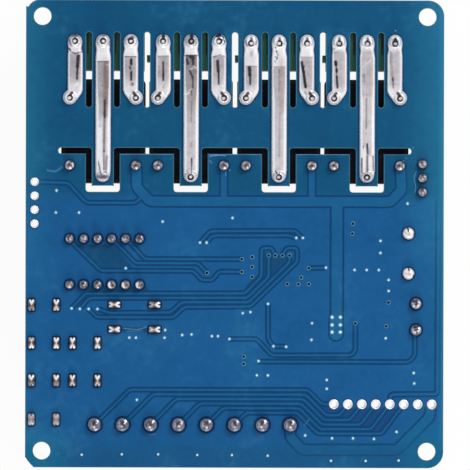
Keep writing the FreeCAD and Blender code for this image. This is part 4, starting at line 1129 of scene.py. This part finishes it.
bars, shadows = [], []
for number, (centre, notes) in enumerate(zip(channels, bar_notes)):
    for side, (levels, brown, marks) in zip((-1, 0, 1), notes):
        pins = [(centre + side * terminal_pitch, output_row)]
        turn = 2.2 + 1.7 * number + 2.4 * side
        marks = marks + pin_marks(side * 0.05, output_row - pin_drops[number], head_shades[number],
                                  0.1, turn, head_dots[number])
        if side:
            path, middle = outer_path(centre, side), centre + side * outer_shift
            pins.append((centre + side * contact_side, contact_row))
            marks = marks + pin_marks(side * (contact_side - outer_shift), end_row - 0.1,
                                      foot_shade, -side, turn, foot_dots[number])
        else:
            path, middle = long_path(centre), centre + long_shift
            pins.append((centre, common_row))
            if number:
                marks = marks + pin_marks(-0.05, common_row, 0.0, 0.0, turn, common_dots[number])
        x, y, height, share = bar_surface(path, pins)
        # The warmth is a brown cast across the strip, and below zero at its edges: the cold tint
        # there is a painted reflection of the board.
        stain_and_rim_reflection = brown * fall(np.abs(share - 0.3), 0.2, 0.7) * fall(np.abs(y - 27.0), 3.0, 6.0)
        stain_and_rim_reflection = stain_and_rim_reflection - 0.25 * (1 - fall(np.abs(share), 0.86, 0.98))
        bars.append(solder_part(np.dstack([x, y, height]),
                                bar_tone(x, y, share, middle, levels, marks), stain_and_rim_reflection))
        # A dark band a little wider than the bar is painted shade on the mask round it.
        rows, left_edge, right_edge = brush_outline(path, outline_margin)
        across = np.column_stack([left_edge, left_edge + 0.02, right_edge - 0.02, right_edge])
        rise = solder_face + np.array([0.0, outline_level, outline_level, 0.0])
        shadows.append(capped(np.dstack([across, np.repeat(rows[:, None], 4, axis=1),
                                         np.broadcast_to(rise, across.shape)])))
add_solder("solder_bar_trails", bars, "solder_bars")
lay("bar_shade_outlines", join(shadows), gap_and_bar_shade_finish)

# %% [markdown]
# ## Joints round the pins
# Where a pin comes through, solder climbs it in a small hill, and round its foot a dark disc on
# the mask is painted shade. A hill is a turned dome whose radius wobbles a little with the angle.
# Copies of one mesh would all look alike, so each joint is worked out anew: it has the few marks
# of its kind, which shift a little from one to the next.

# %% Joint shape
joint_segments = 28
joint_top = 1.47
rim_fade = 0.26              # in shares of the foot
foot_level = 0.012
foot_bevel = 0.08
foot_segments = 24
dice = np.random.default_rng(7)


def joint(place, foot, level, warmth, marks, jitter, rim):
    """A dome: radius foot * cos(s)^0.7, height top * sin(s)^0.6, for s from 0 to a quarter turn,
    with a radius that varies by a few hundredths as cos of twice and three times the angle. Marks
    are painted highlights and shade, in shares of the foot, and the tone is painted darker at the
    outer edge as shade. Beyond the rim's share of the foot the solder is cold: bluer, a painted
    reflection of the board."""
    climb = np.linspace(0.0, 0.5 * math.pi * 0.97, 14)
    profile = np.column_stack([foot * np.cos(climb) ** 0.7, joint_top * np.sin(climb) ** 0.6])
    rings = turned(profile, joint_segments)
    angle = np.arctan2(rings[:, :, 1], rings[:, :, 0])
    phase = dice.uniform(0, 2 * math.pi, 2)
    wobble = 1 + 0.02 * np.cos(2 * angle + phase[0]) + 0.015 * np.cos(3 * angle + phase[1])
    rings[:, :, :2] *= wobble[:, :, None]
    x, y = rings[:, :, 0] / foot, rings[:, :, 1] / foot
    shifts = dice.normal(0, jitter, (len(marks), 2))
    shifted = [(x0 + dx, y0 + dy, x1 + dx, y1 + dy, width, change * dice.uniform(0.7, 1.2))
               for (x0, y0, x1, y1, width, change), (dx, dy) in zip(marks, shifts)]
    tone = level + dice.normal(0, 0.05, x.shape) - 0.3 * fall(1 - np.hypot(x, y), 0.0, 0.16)
    tone = np.clip(marked(tone, x, y, shifted), 0, 1)
    middle = fall(np.hypot(x - 0.05, y + 0.05), 0.1, 0.5)
    warmth = warmth * (0.4 + middle) - (1 - fall(np.hypot(x, y), rim, rim + rim_fade))
    return solder_part(rings, tone, warmth, place)


def painted_foot_shades(name, places, radius, finish):
    """A dark disc round each foot: painted shade on the mask."""
    disc = capped(turned([(radius, 0.0), (radius - foot_bevel, foot_level)], foot_segments))
    lay(name, spread(disc, places), finish)


print("joint helper ready")

# %% Joint places
pin_half = 0.25              # half a display pin
header_half = 0.32           # half a header pin

display_low, display_high = box_mm("display_pins")
display_columns = np.linspace(display_low[0] + pin_half, display_high[0] - pin_half, 6)
display_rows = (display_high[1] - pin_half, display_low[1] + pin_half)
header_low, header_high = box_mm("header_pins")
header_x = (header_low[0] + header_high[0]) / 2
header_rows = np.linspace(header_high[1] - header_half, header_low[1] + header_half, 3)
coil_places = [(centre + side * coil_side, coil_row) for centre in channels for side in (-1, 1)]
display_places = [(x, y) for y in display_rows for x in display_columns]
header_places = [(header_x, y) for y in header_rows]
choke_places = [(31.6, 0.14), (31.6, -7.14)]
can_places = [(33.0, -12.6), (33.0, -17.4)]
input_places = [(x, input_row) for x in input_pins]
print(len(coil_places + display_places + header_places + choke_places + can_places), "small joints")

# %% Small joints
# Marks that raise the tone are painted highlights, and those that lower it are painted shade.
coil_marks = [(0.15, -0.38, 0.2, -0.45, 0.26, 0.7), (0.68, -0.2, 0.62, 0.5, 0.16, 0.4),
              (-0.5, 0.3, -0.2, 0.55, 0.24, 0.25), (-0.1, 0.1, 0.05, 0.15, 0.3, -0.2),
              (0.2, 0.62, 0.45, 0.5, 0.2, -0.25), (-0.6, -0.3, -0.3, -0.6, 0.2, 0.2)]
display_marks = [(0.05, -0.1, 0.1, -0.15, 0.24, 0.5), (0.5, 0.0, 0.35, 0.5, 0.2, 0.3),
                 (-0.5, 0.0, -0.3, -0.4, 0.22, 0.3), (-0.3, 0.5, 0.1, 0.6, 0.2, -0.25),
                 (0.0, 0.3, 0.1, 0.3, 0.2, -0.3), (0.3, -0.6, 0.6, -0.4, 0.2, -0.2)]
bright_marks = [(-0.4, 0.4, -0.5, 0.0, 0.3, 0.7), (-0.5, 0.0, -0.3, -0.45, 0.3, 0.7),
                (0.25, 0.1, 0.3, -0.2, 0.3, -0.2), (-0.1, 0.6, 0.2, 0.6, 0.2, -0.3)]
choke_marks = [(-0.1, 0.9, 0.0, 0.45, 0.2, -0.9), (0.8, -0.45, 0.9, 0.0, 0.16, -0.5),
               (-0.6, 0.1, -0.5, -0.1, 0.14, -0.35), (0.1, 0.1, 0.3, 0.0, 0.3, -0.12),
               (0.1, -0.6, 0.3, -0.7, 0.2, -0.2)]
can_marks = [(0.3, -0.3, 0.55, 0.3, 0.24, 0.6), (-0.5, 0.5, 0.1, 0.6, 0.3, -0.35),
             (-0.3, -0.1, 0.3, 0.1, 0.12, -0.6), (0.0, -0.45, 0.1, 0.35, 0.12, -0.5),
             (-0.3, -0.4, 0.0, -0.3, 0.2, 0.4), (-0.5, 0.1, -0.4, -0.1, 0.16, 0.3)]
input_marks = [(0.36, 0.24, 0.56, 0.6, 0.13, 0.75), (-0.02, -0.28, 0.02, -0.3, 0.18, 0.7),
               (0.0, -0.28, 0.0, -0.3, 0.4, 0.1), (0.0, 0.15, 0.05, 0.32, 0.24, -0.18),
               (-0.45, 0.2, -0.45, -0.3, 0.2, 0.2), (0.4, -0.3, 0.5, 0.1, 0.16, 0.12)]

small_kinds = (              # places, foot, level, warmth, marks, jitter and rim
    (coil_places, 1.0, 0.36, 0.12, coil_marks, 0.08, 0.7),
    (display_places[:9], 0.94, 0.3, 0.3, display_marks, 0.15, 0.5),
    (display_places[9:], 0.94, 0.4, 0.4, bright_marks, 0.08, 0.56),
    (header_places, 0.94, 0.36, 0.4, display_marks, 0.12, 0.5),
    (choke_places, 1.1, 0.96, 0.35, choke_marks, 0.08, 0.95),
    (can_places, 1.12, 0.4, 0.1, can_marks, 0.1, 0.66))
small = [joint(place, *kind) for places, *kind in small_kinds for place in places]
add_solder("small_solder_hills", small, "small_joints")
large = [joint(place, 1.38, 0.27, 0.1, input_marks, 0.07, 0.52) for place in input_places]
add_solder("terminal_solder_hills", large, "input_joints")
painted_foot_shades("painted_foot_shades_small", coil_places + display_places + header_places, 1.14, halo_shade_finish)
painted_foot_shades("painted_foot_shades_choke", choke_places + can_places, 1.32, shadow_finish)
painted_foot_shades("painted_foot_shades_input", input_places, 1.6, halo_shade_finish)

# %% [markdown]
# ## Pads of the push buttons
# The buttons' flat legs come through slots, and their pads are oblong. The solder lies over each
# as a low block with soft corners. Painted highlights flare out to its four corners, and painted
# shade darkens the middle and the flanks between them. Its tone is drawn on an upright pad, then
# turned with it.

# %% Button pads
pad_half = (0.64, 1.12)
pad_outline_half = (0.8, 1.34)
pad_outline_level = 0.013
pad_height = 1.0
pad_points = 32


def soft_block(half_short, half_long):
    """A rectangle with soft corners: a sgn(cos) |cos|^0.4 and b sgn(sin) |sin|^0.4."""
    angles = np.linspace(0, 2 * math.pi, pad_points, endpoint=False)
    return [half * np.sign(turn) * np.abs(turn) ** 0.4
            for half, turn in ((half_short, np.cos(angles)), (half_long, np.sin(angles)))]


def pad(place, ends, level):
    """A soft block, scaled by cos(s)^0.6 and lifted by sin(s)^0.6. Its two ends carry painted
    highlights of the two amounts given, and a notch of painted shade runs in from each end and
    each flank."""
    shine = 0.4 + 0.6 * min(1.0, max(ends) / 0.7)
    climb = np.linspace(0.0, 0.5 * math.pi * 0.97, 12)[:, None]
    short, long = (half * np.cos(climb) ** 0.6 for half in soft_block(*pad_half))
    height = pad_height * np.sin(climb) ** 0.6 * np.ones(pad_points)
    marks = [(0.0, 0.0, 0.0, 0.15, 0.26, -0.3 * shine)]
    for end, strength in zip((-1, 1), ends):
        wide = dice.uniform(0.2, 0.36)
        marks.append((0.0, end * 0.25, -wide, end * 0.85, 0.26, strength))
        marks.append((0.0, end * 0.25, wide, end * 0.85, 0.26, strength))
        marks.append((0.0, end * 0.7, 0.0, end * 1.0, 0.15, dice.uniform(-0.9, 0.0) * shine))
        marks.append((end * 0.5, -0.1, end * 0.55, 0.15, dice.uniform(0.2, 0.34), -0.45 * shine))
    tone = marked(0.24 + 0.12 / shine + dice.normal(0, 0.06, short.shape), short, long, marks)
    # Low on its sides the pad is painted darker, as shade, and its warmth drops below zero: the
    # cold tint there is a painted reflection of the board.
    tone = tone - 0.3 * fall(climb, 0.05, 0.4)
    brown = 0.08 + 0.5 * fall(np.abs(long + 0.15), 0.1, 0.45) - 0.8 * fall(climb, 0.1, 0.45)
    plan = (long, -short) if level else (short, long)
    points, faces, tones, browns_and_reflection = solder_part(np.dstack([*plan, height]), tone, brown, place)
    tones[:-2] = np.clip(tones[:-2], 0, 1)
    browns_and_reflection[-2:] = 0.0        # the middle of the top is clean
    return points, faces, tones, browns_and_reflection


# The two brightnesses below are painted highlights at the pad's lower and upper end.
upright_pads = [             # x, y, and brightness of the lower and upper end
    (-36.85, -13.0, 0.1, 0.7), (-32.35, -13.0, 0.35, 0.75), (-36.85, -19.9, 0.7, 0.25),
    (-32.35, -19.9, 0.65, 0.65), (-36.85, -26.7, 0.05, 0.8), (-32.35, -26.7, 0.05, 0.8),
    (-36.85, -33.8, 0.15, 0.1), (-32.35, -33.8, 0.1, 0.1), (-29.4, -19.9, 0.7, 0.8),
    (-24.85, -19.9, 0.5, 0.8), (-29.4, -26.7, 0.3, 0.7), (-24.85, -26.7, 0.3, 0.7)]
level_pads = [(-21.8, -12.9, 0.45, 0.8), (-14.5, -12.9, 0.2, 0.75), (-21.8, -17.4, 0.8, 0.7),
              (-14.5, -17.4, 0.3, 0.8)]
# Each pad also gets a dark outline: painted shade on the mask round it.
blocks, shades = [], []
short, long = soft_block(*pad_outline_half)
for rows, level, outline in ((upright_pads, False, (short, long)),
                             (level_pads, True, (long, -short))):
    for x, y, *ends in rows:
        blocks.append(pad((x, y), ends, level))
        shades.append(capped(plate(np.column_stack(outline) + (x, y), pad_outline_level)))
add_solder("button_solder_pads", blocks, "button_joints")
lay("pad_shade_outlines", join(shades), shadow_finish)

# %% [markdown]
# ## Bare plated holes
# Two rows of holes carry no pins. Each has a tinned ring on both faces and a plated wall, so
# its form is a closed loop that lines the hole with a skin a few hundredths thick.

# %% Plated holes
hole_radius = 0.55
plating = 0.03
ring_rise = 0.075
ring_bevel = 0.04
hole_segments = 24


def barrel(outer, centres, level):
    """A ring on each face, joined by a thin wall in the hole; one side is painted darker as shade.
    """
    inner, rim, low = hole_radius - plating, outer - ring_bevel, component_face - solder_face
    wall = hole_radius - 0.001
    profile = [(wall, low), (outer, low), (rim, low - ring_rise), (inner, low - ring_rise),
               (inner, ring_rise), (rim, ring_rise), (outer, 0.0), (wall, 0.0)]
    rings = turned(profile, hole_segments)[::-1]
    points, faces = spread(looped(rings), centres)
    angle = np.arctan2(rings[:, :, 1], rings[:, :, 0])
    shade = level - 0.12 * fall(1 - np.cos(angle + 0.9), 0.1, 0.7)
    return points, faces, np.tile(shade.ravel(), len(centres)), np.full(len(points), 0.15)


side_holes = [(side_hole_x, row) for row in side_hole_rows]
low_holes = [(column, hole_row) for column in hole_columns]
add_solder("plated_barrels", [barrel(0.78, side_holes, 0.92), barrel(0.9, low_holes, 0.9)], None)
# A dark ring round each hole is painted shade on the mask.
shadow = looped(turned([(1.1, 0.0), (1.04, 0.014), (0.7, 0.014), (0.7, 0.0)], hole_segments))
lay("hole_shade_outlines", spread(shadow, side_holes + low_holes), dark_finish)

# %% [markdown]
# ## Dried flux
# The board was soldered by hand and not washed. Thin pale smears of flux lie beside some joints,
# along the cut below the relays and between two pads, with a few specks that splashed off.

# %% Flux smears
flux_level = 0.06
flux_smears = [
    ([(32.96, 11.4), (32.5, 10.1), (32.96, 8.9), (32.7, 7.6)], 0.14),
    ([(-20.2, -17.2), (-17.6, -17.5), (-15.8, -16.9)], 0.12),
    ([(-19.5, -17.75), (-16.6, -17.65)], 0.08), ([(-4.6, 14.1), (-3.4, 14.3), (-1.6, 14.2)], 0.2),
    ([(-1.66, 11.2), (-1.66, 10.6)], 0.2), ([(-1.0, 11.65), (-0.9, 11.45)], 0.26),
    ([(30.6, 13.4), (30.75, 13.3)], 0.24), ([(31.1, 13.9), (31.2, 13.8)], 0.22),
    ([(32.3, 15.6), (32.5, 15.9)], 0.14), ([(29.1, 36.9), (29.2, 37.1)], 0.26),
]
flux_hazes = [
    ([(-34.2, 11.5), (-32.6, 11.2), (-31.2, 12.2)], 0.4), ([(-4.7, 13.4), (-4.1, 12.8)], 0.4),
    ([(-15.9, -36.3), (-15.0, -36.6), (-14.2, -36.3)], 0.2),
    ([(-11.3, -42.1), (-9.9, -42.15)], 0.3), ([(12.6, -34.9), (13.6, -33.7)], 0.24),
]
cut_row = coil_row + 2.67 - 0.55 - 0.1       # along the lower side of the cut slots
for centre in channels[:3]:
    flux_smears.append(([(centre + 3.2, cut_row), (centre + 12.8, cut_row)], 0.1))
ribbons("dried_flux", flux_smears, residue_finish, flux_level)
ribbons("flux_hazes", flux_hazes, haze_finish, flux_level)

# %% [markdown]
# ## The parts on the component side
# These nodes keep their CAD form, and only need their finish. Moulded plastic has a fine grain
# and a gloss that changes a little from place to place; wire and drawn metal have fine lines.

# %% Moulded plastics
def moulded(name, colour, worn, gloss, grain=0.25, depth=0.015, **constants):
    """Moulded plastic: a colour that drifts towards a second one, and a fine grain."""
    finish = Finish(name, **constants)
    drift = finish.step(finish.noise(3.0, detail=4.0), 0.35, 0.75)
    finish.shade = finish.mix(drift, srgb(*colour), srgb(*worn))
    finish.colour(finish.shade)
    finish.roughness(gloss + (finish.noise(1.2, detail=3.0) - 0.5) * 0.12)
    finish.bump(finish.noise(grain, detail=3.0), depth)
    return finish


green_finish = moulded("terminal_green", (24, 94, 82), (35, 110, 96), 0.4)
# Dark bands low on the back of the housings, seen through the board's slots, are painted shade of
# the gaps beside their ribs.
grooves = ((-26.8, 0.16), (-21.73, 0.14), (-10.2, 0.15), (-5.2, 0.16), (5.82, 0.1), (10.75, 0.1),
           (21.7, 0.24), (26.78, 0.24))          # middle and half width
groove_shade = sum(green_finish.step(half - abs(green_finish.x - x), -0.06, 0.06)
                for x, half in grooves)
behind = green_finish.step(green_finish.y, 32.4, 32.9)
near_board = green_finish.step(green_finish.z, 13.0, 13.1)
green_finish.colour(green_finish.mix(behind * near_board * groove_shade, green_finish.shade,
                                     srgb(12, 20, 20)))
dress(green_finish, "input_housing", *four("output_housing"))
dress(moulded("relay_cover_black", (10, 10, 20), (18, 18, 28), 0.4, 0.2, 0.01,
              Specular_IOR_Level=0.3), *four("relay_cover"))
dress(moulded("relay_base_black", (18, 21, 38), (27, 29, 46), 0.6, Specular_IOR_Level=0.15),
      *four("relay_base"))
dress(moulded("black_plastic", (26, 25, 27), (40, 39, 42), 0.5), "header_block",
      *four("button_housing"), *four("button_plunger"))
dress(moulded("chip_resin", (36, 36, 38), (50, 50, 53), 0.62, 0.12, 0.02), "controller_chip",
      "power_packages", "driver_parts")
dress(moulded("bung_rubber", (32, 31, 31), (50, 48, 47), 0.75), "capacitor_bung")
dress(moulded("capacitor_sleeve", (28, 32, 46), (38, 44, 60), 0.3, 1.5, 0.03, Coat_Weight=0.3),
      "capacitor_sleeve")
dress(moulded("ferrite_grey", (62, 62, 66), (86, 86, 90), 0.6, 0.3, 0.04), "choke_core")
dress(moulded("lamp_resin", (214, 92, 70), (230, 190, 170), 0.25, 0.6, 0.01, Coat_Weight=0.5),
      "indicator_lamps")
dress(moulded("display_segment", (214, 206, 196), (226, 220, 212), 0.35, 0.5, 0.005),
      "display_segments")

# %% [markdown]
# The display's case has black sides and a grey face that looks down, with seven milky bars for
# each digit. Which side a point is on follows from its normal, so one finish does both.

# %% Display
case = Finish("display_case")
case_down = case.step(0 - case.upward(), 0.6, 0.9)
case_side = case.mix(case.noise(2.5), srgb(24, 24, 26), srgb(38, 38, 41))
case.colour(case.mix(case_down, case_side, srgb(92, 92, 94)))
case.roughness(case_down * 0.2 + 0.42)
case.bump(case.noise(0.25), 0.01)
dress(case, "display_housing")

# %% [markdown]
# Metals are told apart by their colour and by the lines that their making leaves: rolled strip
# has streaks along it, drawn wire fine rings, and a winding is a stack of turns side by side.

# %% Metals
def metal(name, colour, dull, rough, streaks=(0.4, 3.0, 3.0)):
    """Metal with streaks along one axis and duller patches."""
    finish = Finish(name, Metallic=1.0)
    patches = finish.step(finish.noise(2.2, detail=4.0), 0.4, 0.75)
    finish.colour(finish.mix(patches, srgb(*colour), srgb(*dull)))
    lines = finish.noise(0.4, detail=3.0, place=finish.stretched(*streaks))
    finish.roughness(rough + lines * 0.18)
    finish.bump(lines, 0.01)
    return finish


def winding(name, axis, wire):
    """Enamelled wire: bands a wire's width apart along an axis, painted darker where two turns
    meet, as shade in the groove between them.
    """
    finish = Finish(name, Metallic=0.85)
    turns = abs((getattr(finish, axis) * (1 / wire)) % 1.0 - 0.5) * 2.0
    shade = finish.mix(finish.noise(1.6, detail=3.0), srgb(196, 116, 66), srgb(222, 146, 92))
    finish.colour(finish.mix(finish.step(turns, 0.75, 1.0), shade, srgb(84, 42, 24)))
    finish.roughness(turns * 0.2 + 0.28)
    finish.bump(1 - turns * turns, wire * 0.4)
    return finish


dress(metal("tinned_pin", (216, 212, 214), (178, 172, 174), 0.24), "terminal_pins",
      "display_pins", "button_legs", "round_leads")
dress(metal("contact_brass", (214, 184, 120), (186, 152, 92), 0.24), "relay_pins", "header_pins")
dress(metal("zinc_steel", (200, 202, 206), (164, 166, 172), 0.3, (3.0, 3.0, 0.5)),
      "terminal_clamps", "terminal_screws", "button_plates")
dress(metal("plated_iron", (184, 184, 188), (150, 150, 156), 0.32),
      *four("relay_magnet"), *four("relay_armature"))
dress(metal("drawn_aluminium", (220, 221, 224), (190, 191, 196), 0.28, (3.0, 3.0, 0.3)),
      "capacitor_can")
dress(winding("relay_winding", "y", 0.09), *four("relay_coil"))
dress(winding("choke_winding", "z", 0.35), "choke_winding")
